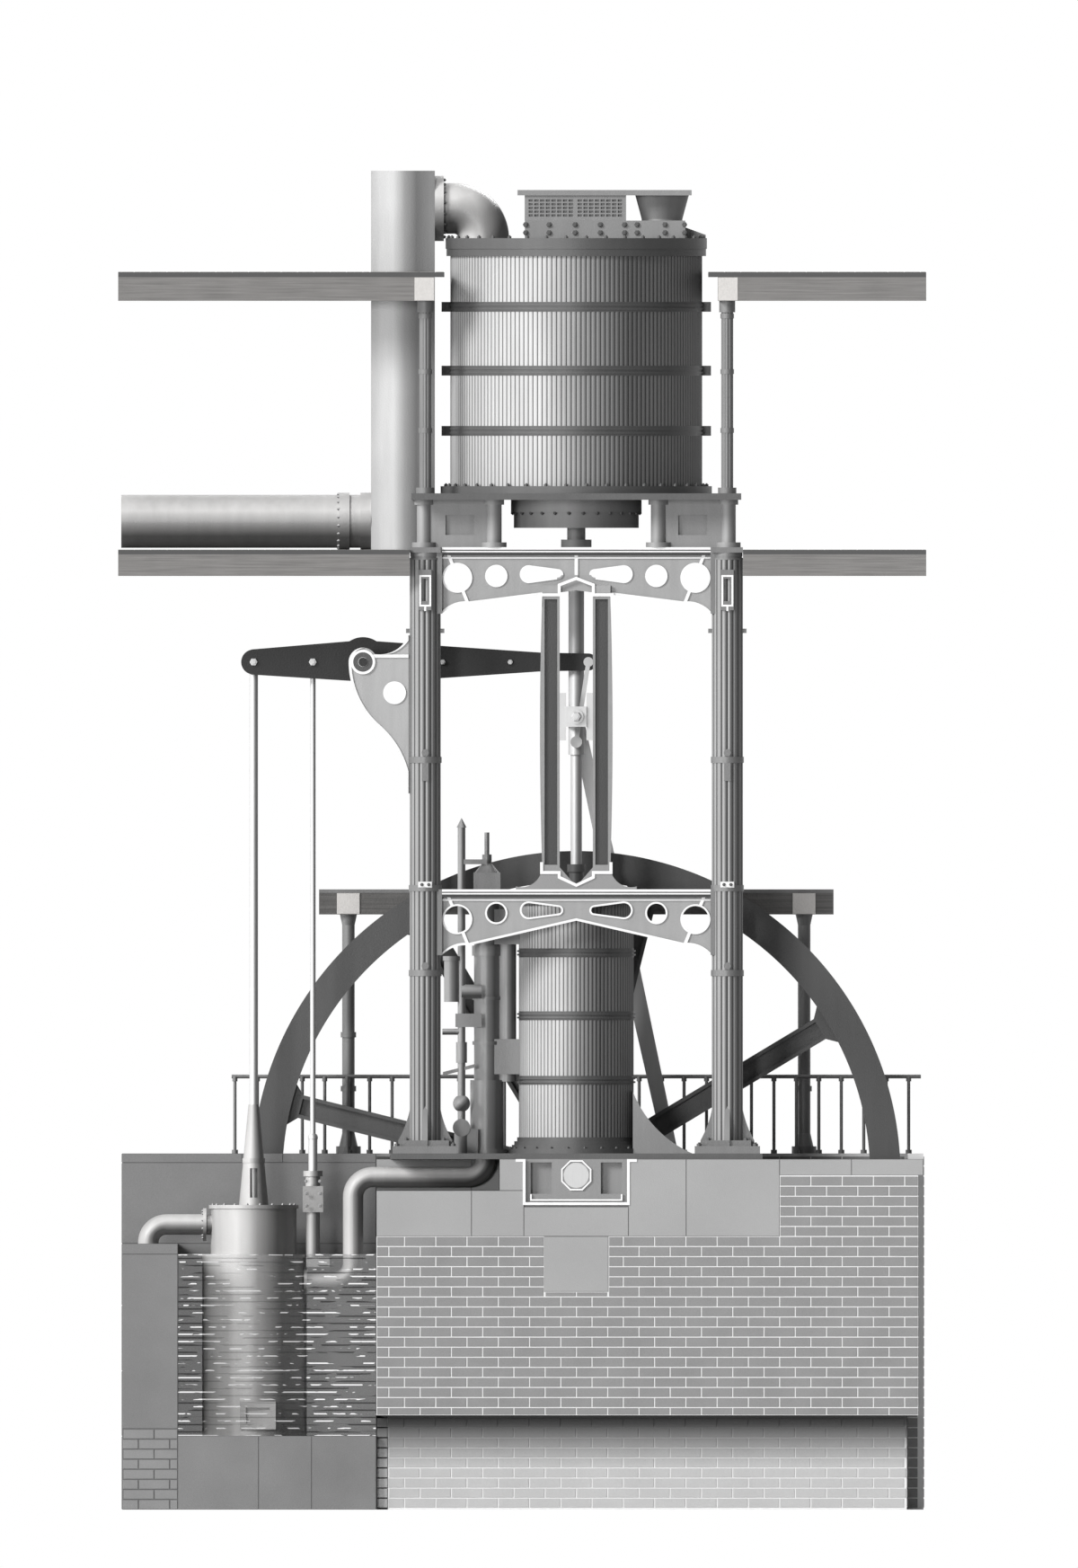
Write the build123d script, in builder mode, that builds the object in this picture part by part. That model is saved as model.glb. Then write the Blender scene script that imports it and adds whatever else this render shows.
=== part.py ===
from build123d import *
import math
import os

# A vertical blowing engine, in millimetres. The blowing cylinder stands over the steam cylinder on
# one frame of four columns, the crankshaft runs below the floor, and a rocking beam drives the pumps.
# +X is right along the front, +Y goes away from the viewer and +Z is up. The origin is on the ground,
# under the axis of the two cylinders. The engine stands at mid stroke, with the crank to the right.

os.makedirs("parts", exist_ok=True)

# Fits
seat_gap = 0.3
running_clearance = 0.1
piston_clearance = 1.0
side_clearance = 8.0

# Levels, upwards from the ground
footing_height = 1155.0
brick_height = 2189.0
ashlar_height = 946.0
bed_thickness = 70.0
brick_top = footing_height + brick_height
ashlar_top = brick_top + ashlar_height
floor = ashlar_top + bed_thickness
shaft_drop = 268.0
shaft_z = floor - shaft_drop

# Frame planes and masonry faces, as depths from the axis
frame_depth = 1100.0
plinth_width = 800.0
bed_half_depth = frame_depth + plinth_width / 2
masonry_margin = 50.0
masonry_depth = bed_half_depth + masonry_margin
footing_setback = 140.0

# Stroke, crank and crosshead
stroke = 2440.0
crank_radius = stroke / 2
crosshead_rise = 5347.0
crosshead_z = floor + crosshead_rise
shaft_radius = 154.0
crank_pin_radius = 105.0

# Foundation
foundation_left = -2447.0
foundation_right = 4186.0
ashlar_right = 2491.0
coping_right = 4251.0
coping_thickness = 198.0
key_stone_width = 790.0
key_stone_depth = 678.0
bearing_width = 1280.0
bearing_drop = 385.0
bearing_length = 400.0
bearing_inset = 50.0
bearing_sole = 200.0
bearing_pocket = (300.0, 560.0)
bearing_pocket_depth = 120.0
bearing_pocket_foot = 160.0
bearing_cap = 40.0
brass_half = 176.0
brass_proud = 15.0
shaft_end = 20.0
pipe_trench_right = -940.0
pipe_trench_depth = 385.0
pipe_trench_back = 165.0

# Pump pit on the left, open at the front
pit_left = -4878.0
masonry_left = -5560.0
pit_floor = 902.0
ledge_top = 3256.0
pit_back = 1200.0

# Wheel, crank and connecting rod, one behind the other from the back of the masonry
wheel_setback = 130.0
wheel_near = masonry_depth + wheel_setback
wheel_width = 440.0
wheel_far = wheel_near + wheel_width
hub_length = 480.0
crank_setback = 10.0
crank_depth = 194.0
rod_depth = 180.0
crank_near = (wheel_near + wheel_far) / 2 + hub_length / 2 + crank_setback
crank_far = crank_near + crank_depth
rod_near = crank_far + side_clearance * 2
rod_far = rod_near + rod_depth

# Wheel pit behind the foundation
wheel_pit_half = 4060.0
wheel_pit_passage = 240.0
wheel_pit_back = rod_far + wheel_pit_passage

# Bed plate
bed_half_length = 2280.0

# Main columns
column_x = 1850.0
column_height = 7421.0
column_top = floor + column_height
column_radius = 180.0
capital_width = 380.0
capital_height = 66.0
echinus_height = 45.0
neck_drop = 130.0
neck_height = 24.0
neck_projection = 14.0
plinth_height = 90.0
gusset_height = 690.0
gusset_reach = 330.0
gusset_root = 165.0
gusset_toe = 70.0
gusset_thickness = 60.0
shoe_half = 290.0
shoe_thickness = 70.0
ring_projection = 22.0
ring_height = 76.0
ring_rises = (2170.0, 3210.0, 4780.0)
boss_rings = (2170.0, 4780.0)
boss_rise = 125.0
boss_radius = 44.0
boss_projection = 30.0
drop_tab_width = 80.0
drop_tab_height = 220.0
lug_rise = 6370.0
lug_reach = 235.0
lug_half_depth = 45.0
lug_height = 55.0
pad_reach = 205.0
pad_width = 240.0
hanger_width = 154.0
hanger_drop = 275.0
hanger_height = 495.0
hanger_depth = 45.0
hanger_window_width = 77.0
hanger_window_height = 275.0

# Girders between the columns
girder_half = column_x - pad_reach - seat_gap
girder_web = 60.0
girder_flange = 240.0
girder_flange_thickness = 92.0
upper_girder_depth = 814.0
upper_girder_middle = 528.0
lower_girder_rise = 3233.0
lower_girder_top = floor + lower_girder_rise
lower_girder_depth = 806.0
lower_girder_middle = 384.0
haunch_length = 330.0
haunch_rise = 120.0
haunch_bulge_length = 139.0
haunch_bulge_rise = 94.0
upper_ring_drops = (374.0, 352.0)
lower_ring_drops = (366.0, 290.0)
upper_pear_drop = 330.0
lower_pear_drop = 256.0
second_line_drop = 130.0
second_line_height = 20.0
girder_lip = 30.0
hip_half = 225.0
hip_shoulder = 77.0
hip_rise = 150.0
girder_rib = 42.0
rib_head_x = 1600.0
rib_foot_x = 1325.0
big_ring_x = 1458.0
big_ring_radius = 162.0
small_ring_x = 980.0
small_ring_radius = 115.0
ring_lip = 22.0
pear_fat_x = 582.0
pear_fat_radius = 88.0
pear_thin_x = 222.0
pear_thin_radius = 40.0
socket_height = 60.0

# Guides of the crosshead
guide_gap = 406.0
guide_width = 215.0
guide_bow = 27.0
guide_depth = 220.0
guide_top_drop = 605.0
guide_top = column_top - guide_top_drop
guide_foot_height = 270.0
guide_foot_reach = 740.0
guide_foot_lip = 35.0
guide_foot_middle = (516.0, 81.0)
guide_edge = 30.0
guide_recess = 50.0

# Crosshead and links
crosshead_half = 124.0
crosshead_overhang = 150.0
shoe_height = 582.0
gudgeon_radius = 88.0
socket_depth = 343.0
socket_radius = 97.0
rod_socket = 150.0
link_eye_drop = 310.0
link_eye_z = crosshead_z - link_eye_drop
gudgeon_head = 45.0
gudgeon_collar = 35.0
gudgeon_clearance = 6.0
gudgeon_collar_end = 50.0
link_eye_radius = 71.0
link_head_radius = 60.0
link_width = 55.0
link_near = 190.0
link_far = 215.0
link_notch = -45.0

# Connecting rod
rod_thickness = 110.0
rod_middle_width = 220.0
rod_small_width = 165.0
small_end_radius = 150.0
big_end_radius = 190.0

# Flywheel and crank
wheel_radius = 3971.0
rim_height = 374.0
hub_radius = 520.0
arm_count = 8
arm_angle = 31.0
arm_width = 286.0
arm_depth = 240.0
arm_flange = 60.0
arm_lip = 45.0
arm_fillet = 120.0
crank_hub_radius = 300.0
crank_boss_radius = 200.0

# Beam and its brackets
beam_pivot_x = -2612.0
beam_rise = 669.0
beam_pivot_z = crosshead_z + beam_rise
beam_end_x = 148.5
beam_tail_radius = 154.0
beam_tail_inset = 30.0
beam_hump_half = 165.0
beam_hump_rise = 305.0
beam_shoulder = 255.0
beam_belly = 242.0
beam_middle_x = -1650.0
beam_middle = 198.0
beam_neck_length = 570.0
beam_neck = 115.0
beam_head_radius = 105.0
beam_stud_radius = 40.0
beam_stud_head = 20.0
beam_boss_head = 40.0
air_pump_x = -3950.0
feed_pump_x = -3225.0
cheek_thickness = 50.0
cheek_gap = 260.0
pivot_boss = 168.0
trunnion_radius = 55.0
trunnion_reach = 1210.0
distance_bolts = (-1633.5, -808.5)
bracket_thickness = 120.0
bracket_boss = 175.0
bracket_below = 1609.0
bracket_above = 327.0
bracket_waist_x = -2440.0
bracket_waist_drop = 770.0
bracket_shoulder_x = -2194.0
bracket_shoulder_rise = 157.0
bracket_saddle_x = -2500.0
bracket_saddle_rise = 105.0
bracket_boss_inset = 25.0
bracket_boss_proud = 30.0
bracket_tie_rise = 52.0
bracket_tie_height = 40.0
bracket_lip = 34.0
bracket_lip_depth = 22.0
bracket_hole_x = -2225.0
bracket_hole_drop = 377.0
bracket_hole_radius = 106.0

# Rods
blowing_rod_radius = 96.0
steam_rod_radius = 69.0
air_rod_radius = 52.0
air_rod_depth = 620.0
air_rod_stroke = crank_radius * (beam_pivot_x - air_pump_x) / (beam_end_x - beam_pivot_x)
feed_rod_radius = 33.0
feed_rod_stroke = crank_radius * (beam_pivot_x - feed_pump_x) / (beam_end_x - beam_pivot_x)
plunger_radius = 55.0
pump_eye_radius = 95.0
feed_eye_radius = 76.0

# Blowing piston: a web between a hub and a rim
rim_depth = 260.0
rim_thickness = 80.0
steam_piston_depth = 240.0
air_rod_bottom = 40.0
plunger_bottom = 30.0
piston_web = 60.0
piston_hub = 260.0

# Air chests and bed of the blowing cylinder
pedestal_height = 580.0
pedestal_top = column_top + pedestal_height
pedestal_foot = 60.0
pedestal_outer = 1700.0
pedestal_inner = 925.0
pedestal_overhang = 30.0
pedestal_depth = frame_depth + pedestal_overhang
panel_thickness = 60.0
short_outer_x = 1865.0
short_outer_radius = 88.0
short_inner_x = 1006.0
short_inner_radius = 93.0
window_centre = 1425.0
window_width = 352.0
window_height = 242.0
window_rise = 90.0
window_depth = 60.0
blowing_bed_thickness = 80.0
blowing_bed_half = 2020.0
blowing_bed_depth = 1690.0

# Lower valve chest
chest_radius = 800.0
chest_flange_height = 154.0
chest_body_height = 190.0
chest_body_inset = 35.0
stuffing_radius = 187.0
stuffing_neck = 112.0
stuffing_lip = 94.0
stuffing_height = 236.0

# Blowing cylinder
bore_radius = 1480.0
barrel_radius = 1529.0
barrel_height = 2992.0
barrel_flange_radius = 1661.0
barrel_flange_height = 88.0
barrel_ring_rises = (704.0, 1441.0, 2222.0)
barrel_ring_height = 121.0
barrel_ring_proud = 27.0
barrel_ring_groove = 14.0
barrel_ring_edge = 24.0
barrel_top_flange = 60.0
barrel_lug_reach = 1650.0
barrel_lug_half = 60.0
cover_radius = 1600.0
cover_thickness = 132.0

# Suction valves and funnel on the cover
suction_base_x = (-630.0, 1335.0)
suction_base_depth = 620.0
suction_base_height = 215.0
suction_box_x = (-632.0, 610.0)
suction_box_depth = 560.0
suction_box_height = 308.0
suction_plate_x = (-720.0, 1413.0)
suction_plate = 66.0
suction_plate_margin = 40.0
hood_x = (1335.0, 1585.0)
hood_half_depth = 200.0
hood_height = 132.0
hood_low_edge = 40.0
lattice_columns = 8
lattice_rows = 5
lattice_bar = 18.0
lattice_frame = 40.0
lattice_depth = 50.0
funnel_x = 1050.0
funnel_neck = 250.0
funnel_radius = 346.0
funnel_height = 290.0

# Air trunk, delivery elbow and blast main
trunk_right = -1732.0
trunk_width = 781.0
trunk_depth = 680.0
trunk_wall = 30.0
trunk_top = 16390.0
elbow_x = -1133.0
elbow_radius = 310.0
elbow_bore = 280.0
elbow_bend = 363.0
elbow_flange_radius = 400.0
elbow_flange_thickness = 110.0
main_left = -5572.0
main_radius = 325.0
main_bore = 300.0
main_flange_radius = 350.0
main_saddle = 130.0
main_joint_x = -2905.0

# Floors and their columns
left_floor_reach = 5610.0
right_floor_reach = 4285.0
floor_depth = 1500.0
joist_width = 110.0
joist_count = 5
mid_floor_top = column_top - 33.0
mid_plate = 55.0
mid_joist_depth = 264.0
upper_floor_top = 15147.0
upper_floor_edge = 1615.0
upper_plate = 60.0
upper_joist_depth = 290.0
header_width = 253.0
header_far = 1985.0
slender_x = 1848.0
slender_radius = 68.0
slender_foot = 70.0
slender_foot_reach = 45.0
slender_capital = 140.0
slender_capital_reach = 30.0
slender_ring_rises = (740.0, 1460.0, 2140.0)
slender_ring_reach = 15.0
slender_ring_height = 60.0

# Gallery and railing
gallery_setback = 160.0
gallery_width = 1120.0
gallery_near = wheel_pit_back + gallery_setback
gallery_far = gallery_near + gallery_width
gallery_wall_margin = 40.0
gallery_wall_back = gallery_far + gallery_wall_margin
gallery_half = 3150.0
gallery_plate = 44.0
gallery_joist = 264.0
gallery_post_x = 2790.0
gallery_joist_inset = 60.0
gallery_joist_half = 50.0
gallery_header_half = 145.0
post_inset = 160.0
post_radius = 77.0
post_foot = 88.0
post_foot_reach = 75.0
post_flare = 160.0
post_capital = 130.0
post_capital_reach = 28.0
post_ring_rises = (760.0, 1420.0)
post_ring_reach = 18.0
post_ring_height = 66.0
railing_inset = 80.0
railing_end_inset = 71.0
railing_half = coping_right - railing_end_inset
railing_height = 942.0
baluster_pitch = 275.0
baluster_radius = 20.0
baluster_foot = 38.0
baluster_foot_height = 45.0
baluster_cap = 32.0
baluster_cap_height = 60.0
rail_radius = 24.0
rail_end = 40.0

# Steam cylinder, its cover and the guard
steam_height = 3140.0
steam_radius = 690.0
steam_bore = 600.0
steam_bottom = 180.0
steam_base_steps = ((830.0, 60.0), (790.0, 105.0), (760.0, 150.0), (725.0, 198.0))
steam_ring_rises = (840.0, 1630.0, 2400.0)
steam_ring_height = 110.0
steam_ring_proud = 35.0
steam_ring_groove = 14.0
steam_ring_edge = 22.0
steam_flange_proud = 60.0
steam_flange_height = 90.0
steam_cover_thickness = 90.0
gland_plate_radius = 300.0
gland_plate_height = 60.0
gland_neck_radius = 88.0
gland_radius = 110.0
gland_head_rise = 155.0
gland_height = 250.0
guard_near = 692.0
guard_rise = 760.0
guard_reach = 730.0
guard_middle = (277.0, 319.0)
guard_skin = 30.0
guard_width = 900.0

# Valve chest and gear
chest_x = -1094.0
chest_pipe_radius = 158.0
chest_height = 3230.0
chest_low_reach = 47.0
chest_low_height = 898.0
chest_ring_rises = (1330.0, 1880.0)
chest_ring_reach = 20.0
chest_ring_band = 44.0
chest_foot_reach = 45.0
chest_foot_height = 55.0
chest_collar_rise = 2420.0
chest_collar_reach = 25.0
chest_collar_height = 125.0
chest_side_x = -845.0
chest_side_radius = 110.0
chest_side_foot = 880.0
chest_side_height = 1950.0
port_depth = 130.0
port_root = 69.0
lower_port = 970.0
upper_port = 2560.0
port_height = 430.0
upper_chest_half = 165.0
upper_chest_height = 210.0
dome_radius = 150.0
dome_height = 110.0
nut_radius = 58.0
nut_height = 110.0
spindle_radius = 30.0
spindle_height = 270.0
gear_x = -1405.0
gear_y = -300.0
gear_foot_radius = 90.0
gear_foot_height = 330.0
gear_rod_radius = 47.0
gear_height = 3990.0
gear_sleeve_rise = 1110.0
gear_sleeve_height = 253.0
gear_sleeve_reach = 20.0
gear_cap_radius = 62.0
gear_cap_height = 120.0
gear_arm_rise = 3540.0
gear_arm_height = 60.0
gear_arm_half_depth = 40.0
gear_bulb_rise = 612.0
gear_bulb_radius = 105.0
gear_ring_rise = 315.0
gear_ring_radius = 108.0
gear_ring_half_depth = 95.0
gear_stand_x = (-1380.0, -1204.0)
gear_stand_half_depth = 60.0
gear_stand_height = 300.0
gear_block_x = (-1480.0, -1160.0)
gear_block_half_depth = 60.0
gear_block_rise = 1547.0
gear_block_height = 165.0
gear_pipe_rise = 1490.0
gear_pipe_radius = 38.0
gear_pipe_left = 235.0
gear_lever_left = 228.0
gear_lever_right = 168.0
gear_lever_rises = (953.0, 1052.0)
gear_lever_thickness = 44.0
gear_lever_half_depth = 30.0
dashpot_offset = 120.0
dashpot_foot = 1855.0
dashpot_height = 560.0
dashpot_radius = 94.0
dashpot_cup_radius = 72.0
dashpot_cup_depth = 110.0
dashpot_lip = 14.0
dashpot_lip_height = 55.0
dashpot_arm_rise = 1982.0
dashpot_arm_radius = 85.0
dashpot_arm_right = 245.0

# Condenser, pumps and pipes in the pit
condenser_radius = 616.0
condenser_height = 2134.0
condenser_ring = 88.0
condenser_ring_reach = 14.0
condenser_foot_height = 60.0
condenser_foot_reach = 30.0
door_x = (-4120.0, -3680.0)
door_foot = 80.0
door_height = 340.0
door_face = 665.0
door_root = 400.0
door_frame = 75.0
door_recess = 40.0
pump_neck_radius = 525.0
pump_neck_height = 561.0
pump_lid_radius = 550.0
pump_lid_thickness = 44.0
rod_guide_foot = 181.0
rod_guide_top = 64.0
rod_guide_height = 1230.0
rod_guide_slot = 45.0
rod_guide_slot_foot = 90.0
rod_guide_slot_height = 360.0
clamp_radius = 140.0
clamp_rise = 517.0
clamp_height = 55.0
overflow_flange_reach = 55.0
overflow_flange_height = 40.0
overflow_flange_lip = 75.0
overflow_z = 3490.0
overflow_radius = 126.0
overflow_x = -5240.0
overflow_bend = 220.0
exhaust_x = -1105.0
exhaust_radius = 125.0
exhaust_bend = 240.0
exhaust_low_z = 2783.0
exhaust_high_z = 4070.0
exhaust_riser_x = -2733.0
exhaust_flange_length = 45.0
exhaust_flange_reach = 32.0
feed_foot_z = 2970.0
feed_foot_height = 121.0
feed_foot_near = 82.0
feed_foot_far = 205.0
feed_barrel_radius = 85.0
feed_barrel_height = 550.0
feed_box_half = 125.0
feed_box_height = 319.0
feed_gland_neck = 90.0
feed_gland_radius = 118.0
feed_gland_height = 187.0
feed_gland_head = 67.0
feed_near = 200.0
feed_hole_rise = 60.0
feed_joint_z = 4554.0
feed_ball_radius = 61.0


def upright(y):
    """An upright plane at depth y, whose extrusions come towards the front."""
    return Plane.XZ.offset(-y)


def turning(x, y):
    """An upright plane with the turning axis of a round piece as its height."""
    return Plane(origin=(x, y, 0), x_dir=(1, 0, 0), z_dir=(0, -1, 0))


def block(x_range, y_range, z_range, mode=Mode.ADD):
    """A rectangular block between two planes on each axis."""
    low, high = zip(x_range, y_range, z_range)
    size = Vector(high) - Vector(low)
    with Locations((Vector(low) + Vector(high)) / 2):
        Box(*size, mode=mode)


def disc(x, y, z, radius, height, mode=Mode.ADD):
    """An upright cylinder that stands on height z."""
    with Locations((x, y, z + height / 2)):
        Cylinder(radius, height, mode=mode)


def cross_bar(x, z, radius, y_near, y_far, mode=Mode.ADD):
    """A round bar along the depth, from its near end to its far end."""
    with Locations(Location((x, (y_near + y_far) / 2, z), (90, 0, 0))):
        Cylinder(radius, y_far - y_near, mode=mode)


def side_bar(x_left, x_right, y, z, radius, mode=Mode.ADD):
    """A round bar along the length of the engine."""
    with Locations(Location(((x_left + x_right) / 2, y, z), (0, 90, 0))):
        Cylinder(radius, x_right - x_left, mode=mode)


def double_ring(z, radius, proud, groove, edge, height):
    """A bulged ring round a cylinder on the axis: two proud bands with a groove between them."""
    band = (height - 3 * edge) / 2
    disc(0, 0, z, radius + groove, height)
    disc(0, 0, z + edge, radius + proud, band)
    disc(0, 0, z + 2 * edge + band, radius + proud, band)


def save(part, name):
    """Labels a finished piece and writes it to its own file."""
    part.label = name
    export_step(part, f"parts/{name}.step")


# Foundation: brick on a footing that is set back, with a slot for the key stone
foundation_span = (foundation_left, foundation_right)
mass_depth = (-masonry_depth, masonry_depth)
with BuildPart() as foundation:
    footing_span = (foundation_left + footing_setback, foundation_right - footing_setback)
    block(footing_span, (footing_setback - masonry_depth, masonry_depth), (0, footing_height))
    block(foundation_span, mass_depth, (footing_height, brick_top))
    block((ashlar_right + seat_gap, foundation_right), mass_depth, (brick_top, ashlar_top - coping_thickness))
    key_half = key_stone_width / 2 + seat_gap
    block((-key_half, key_half), mass_depth, (brick_top - key_stone_depth, brick_top), Mode.SUBTRACT)
save(foundation.part, "foundation")

# Ashlar bed with its coping, the key stone under the bearings and the trench of the shaft
bearing_half = bearing_width / 2
bearing_floor = ashlar_top - bearing_drop - bearing_sole
with BuildPart() as ashlar:
    block((foundation_left, ashlar_right), mass_depth, (brick_top, ashlar_top))
    block((ashlar_right, coping_right), mass_depth, (ashlar_top - coping_thickness, ashlar_top))
    key_half = key_stone_width / 2
    block((-key_half, key_half), mass_depth, (brick_top - key_stone_depth + seat_gap, brick_top))
    block((-bearing_half, bearing_half), mass_depth, (bearing_floor, ashlar_top), Mode.SUBTRACT)
    trench_x = (foundation_left, pipe_trench_right)
    trench_z = (ashlar_top - pipe_trench_depth, ashlar_top)
    block(trench_x, (-masonry_depth, pipe_trench_back), trench_z, Mode.SUBTRACT)
save(ashlar.part, "ashlar_bed")

# Pump pit: the left pier and the bed stones, with the back wall up to floor level
with BuildPart() as pump_pit:
    block((masonry_left, pit_left), (-masonry_depth, pit_back), (0, ledge_top))
    block((pit_left, foundation_left - seat_gap), (-masonry_depth, pit_back), (0, pit_floor))
save(pump_pit.part, "pump_pit")

with BuildPart() as pit_wall:
    block((masonry_left, foundation_left - seat_gap), (pit_back, masonry_depth), (0, floor))
save(pit_wall.part, "pit_wall")

# Wall behind the wheel pit, with its two ends
with BuildPart() as wheel_pit_wall:
    wall_span = (-coping_right, coping_right)
    block(wall_span, (masonry_depth + seat_gap, gallery_wall_back), (0, floor))
    race_span = (-wheel_pit_half, wheel_pit_half)
    block(race_span, (masonry_depth + seat_gap, wheel_pit_back), (0, floor), Mode.SUBTRACT)
save(wheel_pit_wall.part, "wheel_pit_wall")

# Bed plate, open over the exhaust pipe
with BuildPart() as bed_plate:
    block((-bed_half_length, bed_half_length), (-bed_half_depth, bed_half_depth), (ashlar_top, floor))
    disc(exhaust_x, 0, ashlar_top, exhaust_radius + side_clearance, bed_thickness, Mode.SUBTRACT)
save(bed_plate.part, "bed_plate")


def main_bearing(y_centre):
    """A bearing block in its channel, with feet, pillars, an octagonal brass and the bore of the shaft."""
    near = y_centre - bearing_length / 2
    far = y_centre + bearing_length / 2
    with BuildPart() as bearing:
        block((-bearing_half + seat_gap, bearing_half - seat_gap), (near, far), (bearing_floor, ashlar_top))
        pocket_z = (bearing_floor + bearing_pocket_foot, ashlar_top - bearing_cap)
        for side in (-1, 1):
            pocket_x = sorted((side * bearing_pocket[0], side * bearing_pocket[1]))
            block(pocket_x, (near, near + bearing_pocket_depth), pocket_z, Mode.SUBTRACT)
        with BuildSketch(upright(far + brass_proud)):
            with Locations((0, shaft_z)):
                RegularPolygon(brass_half, 8, major_radius=False, rotation=22.5)
        extrude(amount=bearing_length + 2 * brass_proud)
        bore = shaft_radius + running_clearance
        cross_bar(0, shaft_z, bore, near - brass_proud, far + brass_proud, Mode.SUBTRACT)
    return bearing.part


bearing_y = masonry_depth - bearing_inset - bearing_length / 2
save(main_bearing(-bearing_y), "main_bearing_front")
save(main_bearing(bearing_y), "main_bearing_back")


def main_column(x, y):
    """A fluted column on a ribbed foot, with flat pads where the girders and the bracket bolt on."""
    inward = -1 if x > 0 else 1
    outward = -1 if y < 0 else 1
    foot_z = floor + plinth_height
    with BuildPart() as column:
        with BuildSketch(Plane.XY.offset(floor)):
            with Locations((x, y)):
                Rectangle(plinth_width, plinth_width)
        extrude(amount=plinth_height)
        disc(x, y, foot_z, column_radius, column_top - foot_z)
        shoe_x = (x - shoe_half, x + shoe_half)
        block(shoe_x, (y - shoe_half, y + shoe_half), (foot_z, foot_z + shoe_thickness))
        for across, facing in (((1, 0, 0), (0, -1, 0)), ((0, 1, 0), (1, 0, 0))):
            with BuildSketch(Plane(origin=(x, y, foot_z), x_dir=across, z_dir=facing)):
                with BuildLine():
                    Line((0, 0), (gusset_reach, 0))
                    Line((gusset_reach, 0), (gusset_reach, gusset_toe))
                    TangentArc((gusset_root, gusset_height), (gusset_reach, gusset_toe), tangent=(0, -1))
                    Line((gusset_root, gusset_height), (0, gusset_height))
                    Line((0, gusset_height), (0, 0))
                make_face()
                mirror(about=Plane.YZ)
            extrude(amount=gusset_thickness / 2, both=True)
        for rise in ring_rises:
            disc(x, y, floor + rise, column_radius + ring_projection, ring_height)
        face_y = y + outward * (column_radius + boss_projection)
        for rise in boss_rings:
            boss_y = sorted((y, face_y))
            cross_bar(x, floor + rise + boss_rise, boss_radius, *boss_y)
        tab_x = (x - drop_tab_width / 2, x + drop_tab_width / 2)
        tab_z = (floor + boss_rings[1] - drop_tab_height, floor + boss_rings[1])
        block(tab_x, sorted((y, face_y)), tab_z)
        lug_y = (y - lug_half_depth, y + lug_half_depth)
        block((x - lug_reach, x + lug_reach), lug_y, (floor + lug_rise, floor + lug_rise + lug_height))
        with BuildSketch(Plane.XY.offset(column_top - capital_height)):
            with Locations((x, y)):
                Rectangle(capital_width, capital_width)
        extrude(amount=capital_height)
        echinus_z = column_top - capital_height - echinus_height
        disc(x, y, echinus_z, (capital_width + 2 * column_radius) / 4, echinus_height)
        disc(x, y, column_top - neck_drop - neck_height, column_radius + neck_projection, neck_height)
        hanger_face = y + outward * (column_radius + hanger_depth)
        hanger_y = sorted((y, hanger_face))
        hanger_top = column_top - hanger_drop
        hanger_x = (x - hanger_width / 2, x + hanger_width / 2)
        block(hanger_x, hanger_y, (hanger_top - hanger_height, hanger_top))
        window_x = (x - hanger_window_width / 2, x + hanger_window_width / 2)
        window_y = sorted((hanger_face, hanger_face - outward * hanger_depth))
        window_foot = hanger_top - hanger_height / 2 - hanger_window_height / 2
        block(window_x, window_y, (window_foot, window_foot + hanger_window_height), Mode.SUBTRACT)
        pad_near, pad_far = sorted((x, x + inward * pad_reach))
        pad_y = (y - pad_width / 2, y + pad_width / 2)
        block((pad_near, pad_far), pad_y, (column_top - upper_girder_depth, column_top))
        block((pad_near, pad_far), pad_y, (lower_girder_top - lower_girder_depth, lower_girder_top))
        if x < 0:
            plate_y = (y - bracket_thickness / 2, y + bracket_thickness / 2)
            block((x - pad_reach, x), plate_y, (bracket_foot, bracket_head))
    return column.part


bracket_foot = beam_pivot_z - bracket_below
bracket_head = beam_pivot_z + bracket_above
for side, x in (("left", -column_x), ("right", column_x)):
    for plane, y in (("front", -frame_depth), ("back", frame_depth)):
        save(main_column(x, y), f"column_{side}_{plane}")


def ring_hole(x, y, z, radius):
    """A round hole through a girder's web, with a raised lip on both faces."""
    reach = girder_web / 2 + ring_lip
    cross_bar(x, z, radius + ring_lip, y - reach, y + reach)
    cross_bar(x, z, radius, y - reach, y + reach, Mode.SUBTRACT)


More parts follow.
